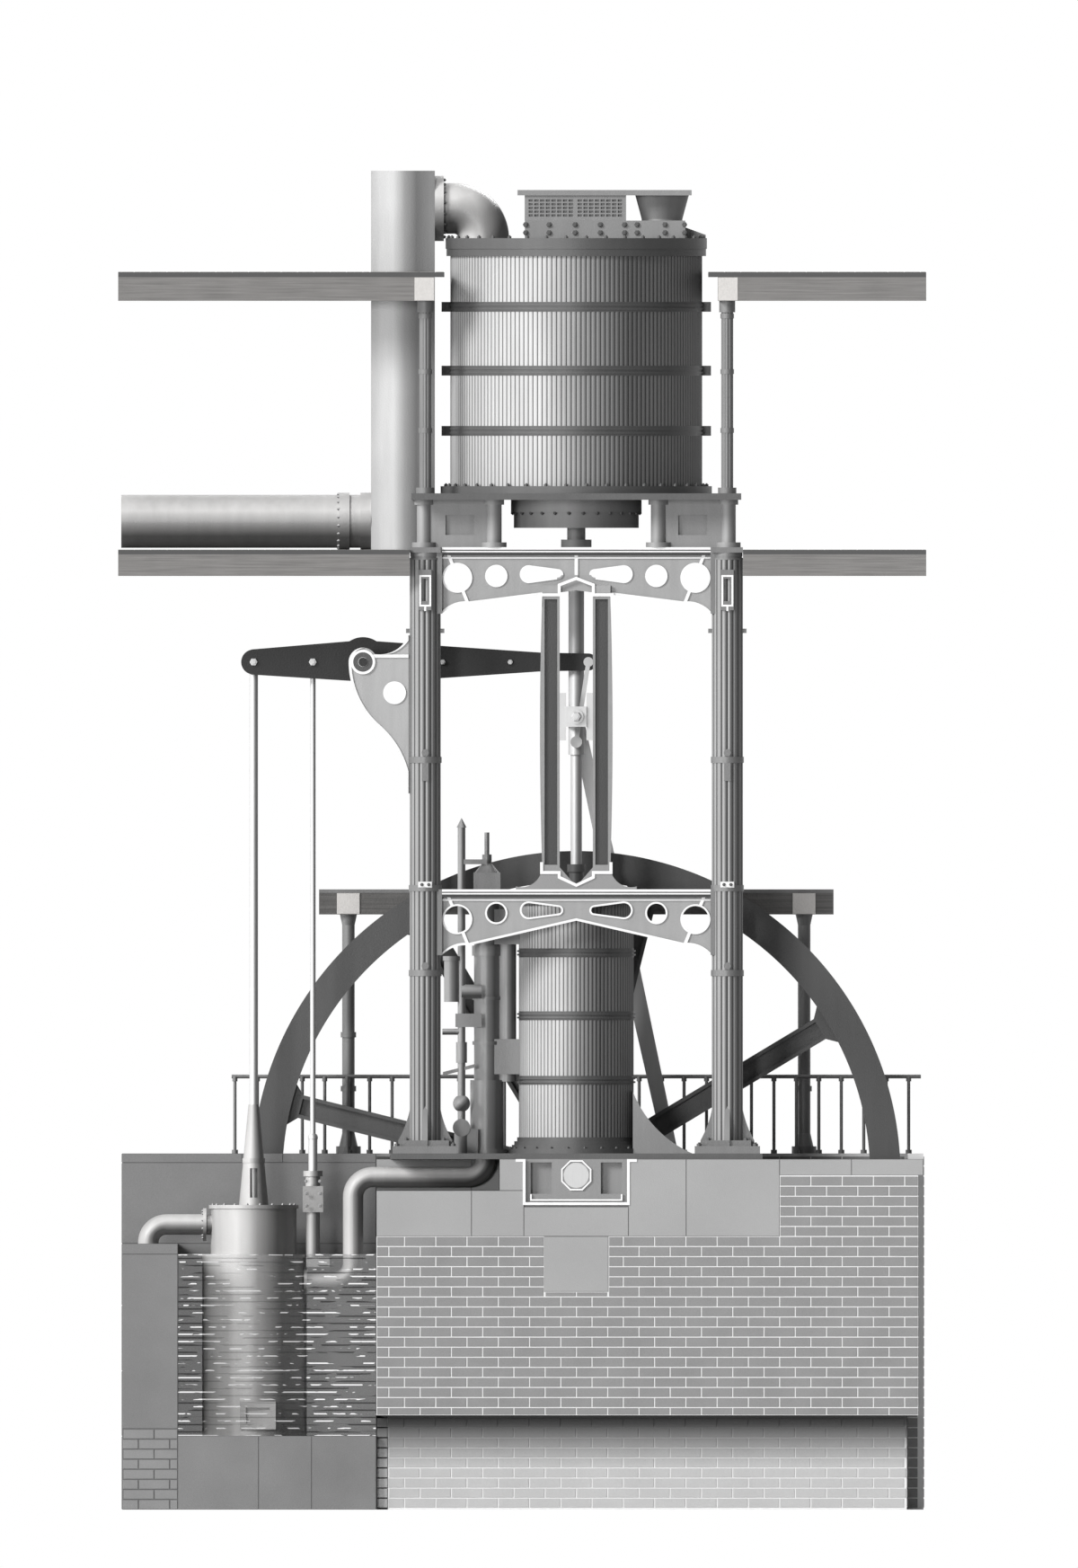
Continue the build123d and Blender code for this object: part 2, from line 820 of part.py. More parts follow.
def girder(y, top, depth, middle, ring_drops, pear_drop, hipped):
    """A cast girder: a web with hanging haunches, edge lips, ribs, ringed holes and pear-shaped holes."""
    haunch_x = girder_half - haunch_length
    haunch_z = top - depth + haunch_rise
    proud_reach = girder_web / 2 + ring_lip
    end = (girder_half, top - depth)
    bulge = (girder_half - haunch_bulge_length, top - depth + haunch_bulge_rise)
    with BuildPart() as casting:
        with BuildSketch(upright(y)) as web:
            with BuildLine():
                Line((0, top), (girder_half, top))
                Line((girder_half, top), end)
                ThreePointArc(end, bulge, (haunch_x, haunch_z))
                Line((haunch_x, haunch_z), (0, top - middle))
                Line((0, top - middle), (0, top))
            make_face()
            mirror(about=Plane.YZ)
        extrude(amount=girder_web / 2, both=True)
        with BuildSketch(upright(y)):
            add(web.sketch_local)
            with Locations((0, girder_lip)):
                add(web.sketch_local, mode=Mode.SUBTRACT)
            with BuildLine():
                Polyline(
                    (rib_head_x - girder_rib / 2, top),
                    (rib_head_x + girder_rib / 2, top),
                    (rib_foot_x + girder_rib / 2, haunch_z),
                    (rib_foot_x - girder_rib / 2, haunch_z),
                    close=True,
                )
            make_face()
            mirror(about=Plane.YZ)
            with Locations((0, top - second_line_drop)):
                Rectangle(2 * girder_half, second_line_height)
            if hipped:
                with Locations((0, top - middle / 2)):
                    Rectangle(girder_rib, middle)
                Polygon(
                    (-hip_half, top - middle),
                    (hip_half, top - middle),
                    (hip_half, top - middle + hip_shoulder),
                    (0, top - middle + hip_rise),
                    (-hip_half, top - middle + hip_shoulder),
                    align=None,
                )
            for side in (-1, 1):
                with BuildSketch(mode=Mode.PRIVATE) as pear_lip:
                    with Locations((side * pear_fat_x, top - pear_drop)):
                        Circle(pear_fat_radius + ring_lip)
                    with Locations((side * pear_thin_x, top - pear_drop)):
                        Circle(pear_thin_radius + ring_lip)
                    make_hull()
                add(pear_lip.sketch_local)
        extrude(amount=proud_reach, both=True)
        flange_y = (y - girder_flange / 2, y + girder_flange / 2)
        block((-girder_half, girder_half), flange_y, (top - girder_flange_thickness, top))
        for side in (-1, 1):
            ring_hole(side * big_ring_x, y, top - ring_drops[0], big_ring_radius)
            ring_hole(side * small_ring_x, y, top - ring_drops[1], small_ring_radius)
            if hipped:
                near_edge = side * guide_gap / 2
                far_edge = side * (guide_gap / 2 + guide_width)
                socket_y = (y - guide_depth / 2, y + guide_depth / 2)
                socket_z = (guide_top + seat_gap, top - middle + socket_height)
                block(sorted((near_edge, far_edge)), socket_y, socket_z)
        for side in (-1, 1):
            with BuildSketch(upright(y + proud_reach)):
                with Locations((side * pear_fat_x, top - pear_drop)):
                    Circle(pear_fat_radius)
                with Locations((side * pear_thin_x, top - pear_drop)):
                    Circle(pear_thin_radius)
                make_hull()
            extrude(amount=2 * proud_reach, mode=Mode.SUBTRACT)
    return casting.part


upper_sizes = (column_top, upper_girder_depth, upper_girder_middle, upper_ring_drops, upper_pear_drop, True)
lower_sizes = (
    lower_girder_top,
    lower_girder_depth,
    lower_girder_middle,
    lower_ring_drops,
    lower_pear_drop,
    False,
)
for plane, y in (("front", -frame_depth), ("back", frame_depth)):
    save(girder(y, *upper_sizes), f"upper_girder_{plane}")
    save(girder(y, *lower_sizes), f"lower_girder_{plane}")


def guide(y):
    """Two guide bars that bow outwards in the middle, on one spreading foot."""
    inner = guide_gap / 2
    outer = inner + guide_width
    foot_top = lower_girder_top + guide_foot_height
    foot_lip_z = lower_girder_top + guide_foot_lip
    with BuildPart() as bars:
        with BuildSketch(upright(y)):
            with BuildLine():
                Line((inner, foot_top), (inner, guide_top))
                Line((inner, guide_top), (outer, guide_top))
                ThreePointArc(
                    (outer, guide_top),
                    (outer + guide_bow, (guide_top + foot_top) / 2),
                    (outer, foot_top),
                )
                ThreePointArc(
                    (outer, foot_top),
                    (guide_foot_middle[0], lower_girder_top + guide_foot_middle[1]),
                    (guide_foot_reach, foot_lip_z),
                )
                Line((guide_foot_reach, foot_lip_z), (guide_foot_reach, lower_girder_top))
                Line((guide_foot_reach, lower_girder_top), (0, lower_girder_top))
                Line((0, lower_girder_top), (0, foot_lip_z))
                Line((0, foot_lip_z), (inner, foot_top))
            make_face()
            mirror(about=Plane.YZ)
        extrude(amount=guide_depth / 2, both=True)
        outward = -1 if y < 0 else 1
        face = y + outward * guide_depth / 2
        recess_y = sorted((face, face - outward * guide_recess))
        recess_z = (foot_top + guide_edge, guide_top - guide_edge)
        for side in (-1, 1):
            recess_x = sorted((side * (inner + guide_edge), side * (outer - guide_edge)))
            block(recess_x, recess_y, recess_z, Mode.SUBTRACT)
    return bars.part


save(guide(-frame_depth), "guide_front")
save(guide(frame_depth), "guide_back")


# Blowing cylinder and what carries it
def valve_pedestal(side):
    """An air chest on the girders, with short columns at its corners and a window in front and behind."""
    chest_outer = side * pedestal_outer
    chest_inner = side * pedestal_inner
    foot_top = column_top + pedestal_foot
    with BuildPart() as pedestal:
        chest_x = sorted((chest_outer, chest_inner))
        block(chest_x, (-pedestal_depth, pedestal_depth), (column_top, pedestal_top))
        for y in (-frame_depth, frame_depth):
            face_y = (y - panel_thickness / 2, y + panel_thickness / 2)
            block(sorted((side * short_outer_x, chest_inner)), face_y, (column_top, pedestal_top))
            for x, radius in ((short_outer_x, short_outer_radius), (short_inner_x, short_inner_radius)):
                disc(side * x, y, column_top, radius, pedestal_height)
                disc(side * x, y, column_top, radius + pedestal_foot, pedestal_foot)
                disc(side * x, y, pedestal_top - pedestal_foot, radius + pedestal_foot / 2, pedestal_foot)
        window_inner = side * (window_centre - window_width / 2)
        window_outer = side * (window_centre + window_width / 2)
        window_x = sorted((window_inner, window_outer))
        window_z = (foot_top + window_rise, foot_top + window_rise + window_height)
        block(window_x, (-pedestal_depth, -pedestal_depth + window_depth), window_z, Mode.SUBTRACT)
        block(window_x, (pedestal_depth - window_depth, pedestal_depth), window_z, Mode.SUBTRACT)
    return pedestal.part


save(valve_pedestal(-1), "valve_pedestal_left")
save(valve_pedestal(1), "valve_pedestal_right")

# Bed of the blowing cylinder, notched round the air trunk
with BuildPart() as blowing_bed:
    bed_top = pedestal_top + blowing_bed_thickness
    bed_y = (-blowing_bed_depth, blowing_bed_depth)
    block((-blowing_bed_half, blowing_bed_half), bed_y, (pedestal_top, bed_top))
    trunk_notch = (-blowing_bed_half, trunk_right + side_clearance)
    notch_half = trunk_depth / 2 + side_clearance
    block(trunk_notch, (-notch_half, notch_half), (pedestal_top, bed_top), Mode.SUBTRACT)
    disc(0, 0, pedestal_top, blowing_rod_radius + running_clearance, blowing_bed_thickness, Mode.SUBTRACT)
save(blowing_bed.part, "blowing_bed")

# Lower valve chest under the bed, with the stuffing box of the blowing rod
with BuildPart() as lower_chest:
    disc(0, 0, pedestal_top - chest_flange_height, chest_radius, chest_flange_height)
    chest_floor = pedestal_top - chest_flange_height - chest_body_height
    disc(0, 0, chest_floor, chest_radius - chest_body_inset, chest_body_height)
    box_floor = chest_floor - stuffing_height
    disc(0, 0, box_floor, stuffing_neck, stuffing_height)
    disc(0, 0, box_floor, stuffing_radius, stuffing_lip)
    rod_hole = blowing_rod_radius + running_clearance
    disc(0, 0, box_floor, rod_hole, pedestal_top - box_floor, Mode.SUBTRACT)
save(lower_chest.part, "lower_valve_chest")

# Barrel of the blowing cylinder, with base and top flanges and bulged rings
barrel_foot = pedestal_top + blowing_bed_thickness
barrel_top = barrel_foot + barrel_height
with BuildPart() as barrel:
    disc(0, 0, barrel_foot, barrel_radius, barrel_height)
    disc(0, 0, barrel_foot, barrel_flange_radius, barrel_flange_height)
    disc(0, 0, barrel_top - barrel_flange_height, barrel_radius + barrel_top_flange, barrel_flange_height)
    ring_shape = (barrel_ring_proud, barrel_ring_groove, barrel_ring_edge, barrel_ring_height)
    for rise in barrel_ring_rises:
        ring_z = barrel_foot + rise
        double_ring(ring_z, barrel_radius, *ring_shape)
        lug_y = (-barrel_lug_half, barrel_lug_half)
        block((-barrel_lug_reach, barrel_lug_reach), lug_y, (ring_z, ring_z + barrel_ring_height))
    disc(0, 0, barrel_foot, bore_radius, barrel_height, Mode.SUBTRACT)
save(barrel.part, "blowing_cylinder")

# Top cover, open under the delivery elbow
cover_top = barrel_top + cover_thickness
with BuildPart() as cover:
    disc(0, 0, barrel_top, cover_radius, cover_thickness)
    disc(elbow_x, 0, barrel_top, elbow_bore, cover_thickness, Mode.SUBTRACT)
save(cover.part, "blowing_cover")

# Suction valves: a base on the cover, a box with lattice windows under a thin plate, and a funnel
with BuildPart() as suction:
    base_top = cover_top + suction_base_height
    box_top = base_top + suction_box_height
    block(suction_base_x, (-suction_base_depth, suction_base_depth), (cover_top, base_top))
    block(suction_box_x, (-suction_box_depth, suction_box_depth), (base_top, box_top))
    plate_half = suction_box_depth + suction_plate_margin
    plate_y = (-plate_half, plate_half)
    block(suction_plate_x, plate_y, (box_top, box_top + suction_plate))
    lattice_width = (suction_box_x[1] - suction_box_x[0] - 3 * lattice_frame) / 2
    cell_width = lattice_width / lattice_columns
    cell_height = (suction_box_height - 2 * lattice_frame) / lattice_rows
    for panel in range(2):
        panel_left = suction_box_x[0] + lattice_frame + panel * (lattice_width + lattice_frame)
        panel_x = panel_left + lattice_width / 2
        for face_y in (-suction_box_depth, suction_box_depth - lattice_depth):
            with BuildSketch(Plane.XZ.offset(-face_y - lattice_depth)):
                with Locations((panel_x, (base_top + box_top) / 2)):
                    with GridLocations(cell_width, cell_height, lattice_columns, lattice_rows):
                        Rectangle(cell_width - lattice_bar, cell_height - lattice_bar)
            extrude(amount=lattice_depth, mode=Mode.SUBTRACT)
    with BuildSketch(upright(hood_half_depth)):
        Polygon(
            (hood_x[0], cover_top),
            (hood_x[1], cover_top),
            (hood_x[1], cover_top + hood_low_edge),
            (hood_x[0], cover_top + hood_height),
            align=None,
        )
    extrude(amount=2 * hood_half_depth)
    disc(funnel_x, 0, base_top, funnel_neck, box_top - base_top - funnel_height)
    with BuildSketch(turning(funnel_x, 0)):
        cone_foot = box_top - funnel_height
        cone_top = box_top + suction_plate
        Polygon(
            (0, cone_foot),
            (funnel_neck, cone_foot),
            (funnel_radius, cone_top),
            (0, cone_top),
            align=None,
        )
    revolve(axis=Axis((funnel_x, 0, 0), (0, 0, 1)))
save(suction.part, "suction_valves")

# Air trunk: a closed riser with a foot flange, open to the elbow and to the blast main
trunk_x = (trunk_right - trunk_width, trunk_right)
trunk_foot = mid_floor_top
main_z = mid_floor_top + main_flange_radius
elbow_z = cover_top + elbow_bend
with BuildPart() as trunk:
    half_depth = trunk_depth / 2
    block(trunk_x, (-half_depth, half_depth), (trunk_foot, trunk_top))
    inner_x = (trunk_x[0] + trunk_wall, trunk_x[1] - trunk_wall)
    inner_y = (trunk_wall - half_depth, half_depth - trunk_wall)
    block(inner_x, inner_y, (trunk_foot + trunk_wall, trunk_top - trunk_wall), Mode.SUBTRACT)
    side_bar(trunk_x[0], trunk_x[0] + trunk_wall, 0, main_z, main_bore, Mode.SUBTRACT)
    side_bar(trunk_x[1] - trunk_wall, trunk_x[1], 0, elbow_z, elbow_bore, Mode.SUBTRACT)
save(trunk.part, "air_trunk")

# Delivery elbow from the trunk down to the top cover
with BuildPart() as elbow:
    elbow_start = trunk_right
    with BuildLine(Plane.XZ) as bend:
        Line((elbow_start, elbow_z), (elbow_x - elbow_bend, elbow_z))
        RadiusArc((elbow_x - elbow_bend, elbow_z), (elbow_x, cover_top), elbow_bend)
    with BuildSketch(Plane.YZ.offset(elbow_start)):
        with Locations((0, elbow_z)):
            Circle(elbow_radius)
            Circle(elbow_bore, mode=Mode.SUBTRACT)
    sweep(path=bend.line)
    side_bar(elbow_start, elbow_start + elbow_flange_thickness, 0, elbow_z, elbow_flange_radius)
    side_bar(elbow_start, elbow_start + elbow_flange_thickness, 0, elbow_z, elbow_bore, Mode.SUBTRACT)
save(elbow.part, "delivery_elbow")

# Blast main, cut where the section cuts it
with BuildPart() as main:
    side_bar(main_left, trunk_x[0], 0, main_z, main_radius)
    side_bar(trunk_x[0] - main_saddle, trunk_x[0], 0, main_z, main_flange_radius)
    side_bar(main_joint_x, main_joint_x + main_saddle, 0, main_z, main_flange_radius)
    side_bar(main_left, trunk_x[0], 0, main_z, main_bore, Mode.SUBTRACT)
save(main.part, "blast_main")


def floor_stub(side, reach, x_near, joist_near, top, plate, joist_depth, header, trunk_hole):
    """A floor stub: a plate on joists, with a header timber where the upper floor has one."""
    x_far = side * reach
    joist_top = top - plate
    joist_z = (joist_top - joist_depth, joist_top)
    pitch = (2 * floor_depth - joist_width) / (joist_count - 1)
    with BuildPart() as stub:
        block(sorted((side * x_near, x_far)), (-floor_depth, floor_depth), (joist_top, top))
        for number in range(joist_count):
            near = -floor_depth + number * pitch
            block(sorted((side * joist_near, x_far)), (near, near + joist_width), joist_z)
        if header:
            header_span = sorted((side * (joist_near - header), side * joist_near))
            block(header_span, (-floor_depth, floor_depth), joist_z)
        if trunk_hole:
            notch = (trunk_x[0] - side_clearance, side * x_near)
            notch_half = trunk_depth / 2 + side_clearance
            block(notch, (-notch_half, notch_half), (joist_z[0], top), Mode.SUBTRACT)
    return stub.part


mid_edge = column_x + capital_width / 2 + seat_gap
mid_floor_sizes = (mid_edge, mid_edge, mid_floor_top, mid_plate, mid_joist_depth, 0, False)
upper_edges = (upper_floor_edge, header_far)
upper_floor_sizes = (*upper_edges, upper_floor_top, upper_plate, upper_joist_depth, header_width)
save(floor_stub(-1, left_floor_reach, *mid_floor_sizes), "mid_floor_left")
save(floor_stub(1, right_floor_reach, *mid_floor_sizes), "mid_floor_right")
save(floor_stub(-1, left_floor_reach, *upper_floor_sizes, True), "upper_floor_left")
save(floor_stub(1, right_floor_reach, *upper_floor_sizes, False), "upper_floor_right")

# Slender columns from the blowing bed to the header timbers
for side, x in (("left", -slender_x), ("right", slender_x)):
    for plane, y in (("front", -frame_depth), ("back", frame_depth)):
        slender_top = upper_floor_top - upper_plate - upper_joist_depth
        with BuildPart() as slender:
            disc(x, y, barrel_foot, slender_radius, slender_top - barrel_foot)
            disc(x, y, barrel_foot, slender_radius + slender_foot_reach, slender_foot)
            disc(x, y, slender_top - slender_capital, slender_radius + slender_capital_reach, slender_capital)
            for rise in slender_ring_rises:
                disc(x, y, barrel_foot + rise, slender_radius + slender_ring_reach, slender_ring_height)
        save(slender.part, f"upper_column_{side}_{plane}")

# Low gallery behind the flywheel, on four posts
gallery_top = lower_girder_top
with BuildPart() as gallery:
    gallery_y = (gallery_near, gallery_far)
    plate_z = (gallery_top - gallery_plate, gallery_top)
    block((-gallery_half, gallery_half), gallery_y, plate_z)
    joist_z = (gallery_top - gallery_plate - gallery_joist, gallery_top - gallery_plate)
    first_joist = gallery_near + gallery_joist_inset
    last_joist = gallery_far - gallery_joist_inset
    for y in (first_joist, (first_joist + last_joist) / 2, last_joist):
        joist_y = (y - gallery_joist_half, y + gallery_joist_half)
        block((-gallery_half, gallery_half), joist_y, joist_z)
    for x in (-gallery_post_x, gallery_post_x):
        block((x - gallery_header_half, x + gallery_header_half), gallery_y, joist_z)
        for y in (gallery_near + post_inset, gallery_far - post_inset):
            disc(x, y, floor, post_radius, joist_z[0] - floor)
            disc(x, y, floor, post_radius + post_foot_reach, post_foot)
            with Locations((x, y, floor + post_foot + post_flare / 2)):
                Cone(post_radius + post_foot_reach / 2, post_radius, post_flare)
            with Locations((x, y, joist_z[0] - post_capital / 2)):
                Cone(post_radius, post_radius + post_capital_reach, post_capital)
            for rise in post_ring_rises:
                disc(x, y, floor + rise, post_radius + post_ring_reach, post_ring_height)
save(gallery.part, "low_gallery")

# Railing along the wheel pit
with BuildPart() as railing:
    rail_y = wheel_pit_back + railing_inset
    count = int(2 * railing_half / baluster_pitch)
    for number in range(count + 1):
        baluster_x = -railing_half + number * baluster_pitch
        disc(baluster_x, rail_y, floor, baluster_radius, railing_height)
        disc(baluster_x, rail_y, floor, baluster_foot, baluster_foot_height)
        cap_z = floor + railing_height - baluster_cap_height
        disc(baluster_x, rail_y, cap_z, baluster_cap, baluster_cap_height)
    side_bar(-railing_half - rail_end, railing_half + rail_end, rail_y, floor + railing_height, rail_radius)
save(railing.part, "railing")


def beam_bracket(y):
    """A curved bracket with raised edges that carries one bearing of the beam out from the column."""
    wall = -column_x - pad_reach - seat_gap
    waist = (bracket_waist_x, beam_pivot_z - bracket_waist_drop)
    nose = (beam_pivot_x - bracket_boss, beam_pivot_z)
    shoulder = (bracket_shoulder_x, beam_pivot_z + bracket_shoulder_rise)
    saddle = (bracket_saddle_x, beam_pivot_z + bracket_saddle_rise)
    edge_half = bracket_thickness / 2 + bracket_lip_depth
    hole = (bracket_hole_x, beam_pivot_z - bracket_hole_drop)
    with BuildPart() as bracket:
        with BuildSketch(upright(y)) as plate:
            with BuildLine():
                Line((wall, bracket_head), (wall, bracket_foot))
                TangentArc((wall, bracket_foot), waist, tangent=(0, 1))
                TangentArc(nose, waist, tangent=(0, -1))
                Line(nose, saddle)
                ThreePointArc(saddle, shoulder, (wall, bracket_head))
            make_face()
            with Locations((beam_pivot_x, beam_pivot_z)):
                Circle(bracket_boss)
        extrude(amount=bracket_thickness / 2, both=True)
        with BuildSketch(upright(y)):
            add(plate.sketch_local)
            with Locations((bracket_lip, 0)):
                add(plate.sketch_local, mode=Mode.SUBTRACT)
            with Locations(hole):
                Circle(bracket_hole_radius + bracket_lip)
        extrude(amount=edge_half, both=True)
        tie_foot = beam_pivot_z + bracket_tie_rise
        block((beam_pivot_x, wall), (y - edge_half, y + edge_half), (tie_foot, tie_foot + bracket_tie_height))
        boss_reach = bracket_thickness / 2 + bracket_boss_proud
        boss = (beam_pivot_x, beam_pivot_z)
        cross_bar(*boss, bracket_boss - bracket_boss_inset, y - boss_reach, y + boss_reach)
        cross_bar(*boss, trunnion_radius + running_clearance, y - boss_reach, y + boss_reach, Mode.SUBTRACT)
        cross_bar(*hole, bracket_hole_radius, y - edge_half, y + edge_half, Mode.SUBTRACT)
    return bracket.part


save(beam_bracket(-frame_depth), "beam_bracket_front")
save(beam_bracket(frame_depth), "beam_bracket_back")

# Steam cylinder: lagged barrel on a stepped base, closed below
steam_top = floor + steam_height
with BuildPart() as steam:
    for radius, height in steam_base_steps:
        disc(0, 0, floor, radius, height)
    disc(0, 0, floor, steam_radius, steam_height)
    ring_shape = (steam_ring_proud, steam_ring_groove, steam_ring_edge, steam_ring_height)
    for rise in steam_ring_rises:
        double_ring(floor + rise, steam_radius, *ring_shape)
    steam_flange_radius = steam_radius + steam_flange_proud
    disc(0, 0, steam_top - steam_flange_height, steam_flange_radius, steam_flange_height)
    disc(0, 0, floor + steam_bottom, steam_bore, steam_height - steam_bottom, Mode.SUBTRACT)
save(steam.part, "steam_cylinder")

# Cover of the steam cylinder, with the stacked gland of its rod
with BuildPart() as steam_cover:
    disc(0, 0, steam_top, steam_flange_radius, steam_cover_thickness)
    disc(0, 0, steam_top + steam_cover_thickness, gland_plate_radius, gland_plate_height)
    gland_foot = steam_top + steam_cover_thickness + gland_plate_height
    disc(0, 0, gland_foot, gland_neck_radius, gland_height)
    disc(0, 0, gland_foot + gland_head_rise, gland_radius, gland_height - gland_head_rise)
    rod_hole = steam_rod_radius + running_clearance
    disc(0, 0, steam_top, rod_hole, gland_foot + gland_height - steam_top, Mode.SUBTRACT)
save(steam_cover.part, "steam_cover")

# Valve chest: a tall pipe beside the steam cylinder, joined to it by the steam ports
with BuildPart() as valve_chest:
    disc(chest_x, 0, floor, chest_pipe_radius, chest_height)
    disc(chest_x, 0, floor, chest_pipe_radius + chest_low_reach, chest_low_height)
    disc(chest_x, 0, floor, chest_pipe_radius + chest_low_reach + chest_foot_reach, chest_foot_height)
    collar_z = floor + chest_collar_rise
    disc(chest_x, 0, collar_z, chest_pipe_radius + chest_collar_reach, chest_collar_height)
    for rise in chest_ring_rises:
        disc(chest_x, 0, floor + rise, chest_pipe_radius + chest_ring_reach, chest_ring_band)
    disc(chest_side_x, 0, floor + chest_side_foot, chest_side_radius, chest_side_height)
    port_x = (chest_x, port_root - steam_radius)
    block(port_x, (-port_depth, port_depth), (floor + lower_port, floor + lower_port + port_height))
    block(port_x, (-port_depth, port_depth), (floor + upper_port, floor + upper_port + port_height))
    disc(0, 0, floor, steam_radius + seat_gap, steam_height, Mode.SUBTRACT)
    upper_x = (chest_x - upper_chest_half, chest_x + upper_chest_half)
    upper_foot = floor + chest_height
    block(upper_x, (-upper_chest_half, upper_chest_half), (upper_foot, upper_foot + upper_chest_height))
    lid_foot = upper_foot + upper_chest_height
    with Locations((chest_x, 0, lid_foot + dome_height / 2)):
        Cone(dome_radius, nut_radius, dome_height)
    disc(chest_x, 0, lid_foot + dome_height, nut_radius, nut_height)
    disc(chest_x, 0, lid_foot + dome_height + nut_height, spindle_radius, spindle_height)
save(valve_chest.part, "valve_chest")

# Valve gear: a standing rod with its stand, lever, dashpot and arm
with BuildPart() as valve_gear:
    disc(gear_x, gear_y, floor, gear_foot_radius, gear_foot_height)
    disc(gear_x, gear_y, floor, gear_rod_radius, gear_height)
    with Locations((gear_x, gear_y, floor + gear_height + gear_cap_height / 2)):
        Cone(gear_cap_radius, 0, gear_cap_height)
    sleeve_z = floor + gear_sleeve_rise
    disc(gear_x, gear_y, sleeve_z, gear_rod_radius + gear_sleeve_reach, gear_sleeve_height)
    with Locations((gear_x, gear_y, floor + gear_bulb_rise)):
        Sphere(gear_bulb_radius)
    ring_y = (gear_y - gear_ring_half_depth, gear_y + gear_ring_half_depth)
    cross_bar(gear_x, floor + gear_ring_rise, gear_ring_radius, *ring_y)
    stand_y = (gear_y - gear_stand_half_depth, gear_y + gear_stand_half_depth)
    block(gear_stand_x, stand_y, (floor, floor + gear_stand_height))
    block_z = floor + gear_block_rise
    block_y = (gear_y - gear_block_half_depth, gear_y + gear_block_half_depth)
    block(gear_block_x, block_y, (block_z, block_z + gear_block_height))
    side_bar(gear_x - gear_pipe_left, gear_x, gear_y, floor + gear_pipe_rise, gear_pipe_radius)
    arm_y = (gear_y - gear_arm_half_depth, gear_y + gear_arm_half_depth)
    arm_z = floor + gear_arm_rise
    block((gear_x, chest_x), arm_y, (arm_z, arm_z + gear_arm_height))
    with BuildSketch(upright(gear_y)):
        left_z = floor + gear_lever_rises[0]
        right_z = floor + gear_lever_rises[1]
        Polygon(
            (gear_x - gear_lever_left, left_z),
            (gear_x + gear_lever_right, right_z),
            (gear_x + gear_lever_right, right_z + gear_lever_thickness),
            (gear_x - gear_lever_left, left_z + gear_lever_thickness),
            align=None,
        )
    extrude(amount=gear_lever_half_depth, both=True)
    pot_x = gear_x - dashpot_offset
    pot_top = floor + dashpot_foot + dashpot_height
    disc(pot_x, gear_y, floor + dashpot_foot, dashpot_radius, dashpot_height)
    disc(pot_x, gear_y, pot_top - dashpot_lip_height, dashpot_radius + dashpot_lip, dashpot_lip_height)
    disc(pot_x, gear_y, pot_top - dashpot_cup_depth, dashpot_cup_radius, dashpot_cup_depth, Mode.SUBTRACT)
    side_bar(gear_x, gear_x + dashpot_arm_right, gear_y, floor + dashpot_arm_rise, dashpot_arm_radius)
save(valve_gear.part, "valve_gear")

# Curved guard at the foot of the steam cylinder, closed by a plate at each end
guard_top = (guard_near, floor + guard_rise)
guard_bulge = (guard_near + guard_middle[0], floor + guard_middle[1])
guard_toe = (guard_near + guard_reach, floor)
with BuildPart() as guard:
    with BuildSketch(upright(guard_width / 2)) as profile:
        with BuildLine():
            ThreePointArc(guard_top, guard_bulge, guard_toe)
            Line(guard_toe, (guard_near, floor))
            Line((guard_near, floor), guard_top)
        make_face()
    extrude(amount=guard_width)
    with BuildSketch(upright(guard_width / 2 - guard_skin)):
        with Locations((-guard_skin, -guard_skin)):
            add(profile.sketch_local)
    extrude(amount=guard_width - 2 * guard_skin, mode=Mode.SUBTRACT)
    for radius, height in steam_base_steps:
        disc(0, 0, floor, radius + seat_gap, height, Mode.SUBTRACT)
save(guard.part, "steam_guard")

# Condenser in the pit, with the air pump barrel, its lid and the tapered guide of the pump rod
with BuildPart() as condenser:
    disc(air_pump_x, 0, pit_floor, condenser_radius, condenser_height)
    neck_foot = pit_floor + condenser_height
    disc(air_pump_x, 0, neck_foot, condenser_radius + condenser_ring_reach, condenser_ring)
    disc(air_pump_x, 0, pit_floor, condenser_radius + condenser_foot_reach, condenser_foot_height)
    door_z = (pit_floor + door_foot, pit_floor + door_foot + door_height)
    block(door_x, (-door_face, -door_root), door_z)
    panel_x = (door_x[0] + door_frame, door_x[1] - door_frame)
    panel_z = (door_z[0] + door_frame, door_z[1] - door_frame)
    block(panel_x, (-door_face, door_recess - door_face), panel_z, Mode.SUBTRACT)
    neck_top = neck_foot + condenser_ring + pump_neck_height
    disc(air_pump_x, 0, neck_foot, pump_neck_radius, condenser_ring + pump_neck_height)
    disc(air_pump_x, 0, neck_top, pump_lid_radius, pump_lid_thickness)
    with BuildSketch(turning(air_pump_x, 0)):
        stand_foot = neck_top + pump_lid_thickness
        Polygon(
            (0, stand_foot),
            (rod_guide_foot, stand_foot),
            (rod_guide_top, stand_foot + rod_guide_height),
            (0, stand_foot + rod_guide_height),
            align=None,
        )
    revolve(axis=Axis((air_pump_x, 0, 0), (0, 0, 1)))
    rod_bottom = neck_foot - air_rod_depth
    hole_height = stand_foot + rod_guide_height - rod_bottom
    slot_x = (air_pump_x - rod_guide_slot, air_pump_x + rod_guide_slot)
    slot_foot = stand_foot + rod_guide_slot_foot
    slot_z = (slot_foot, slot_foot + rod_guide_slot_height)
    block(slot_x, (-rod_guide_foot, rod_guide_foot), slot_z, Mode.SUBTRACT)
    disc(air_pump_x, 0, stand_foot + clamp_rise, clamp_radius, clamp_height)
    overflow_root = air_pump_x - pump_neck_radius - overflow_flange_reach
    side_bar(overflow_root, air_pump_x, 0, overflow_z, overflow_radius)
    disc(air_pump_x, 0, rod_bottom, air_rod_radius + running_clearance, hole_height, Mode.SUBTRACT)
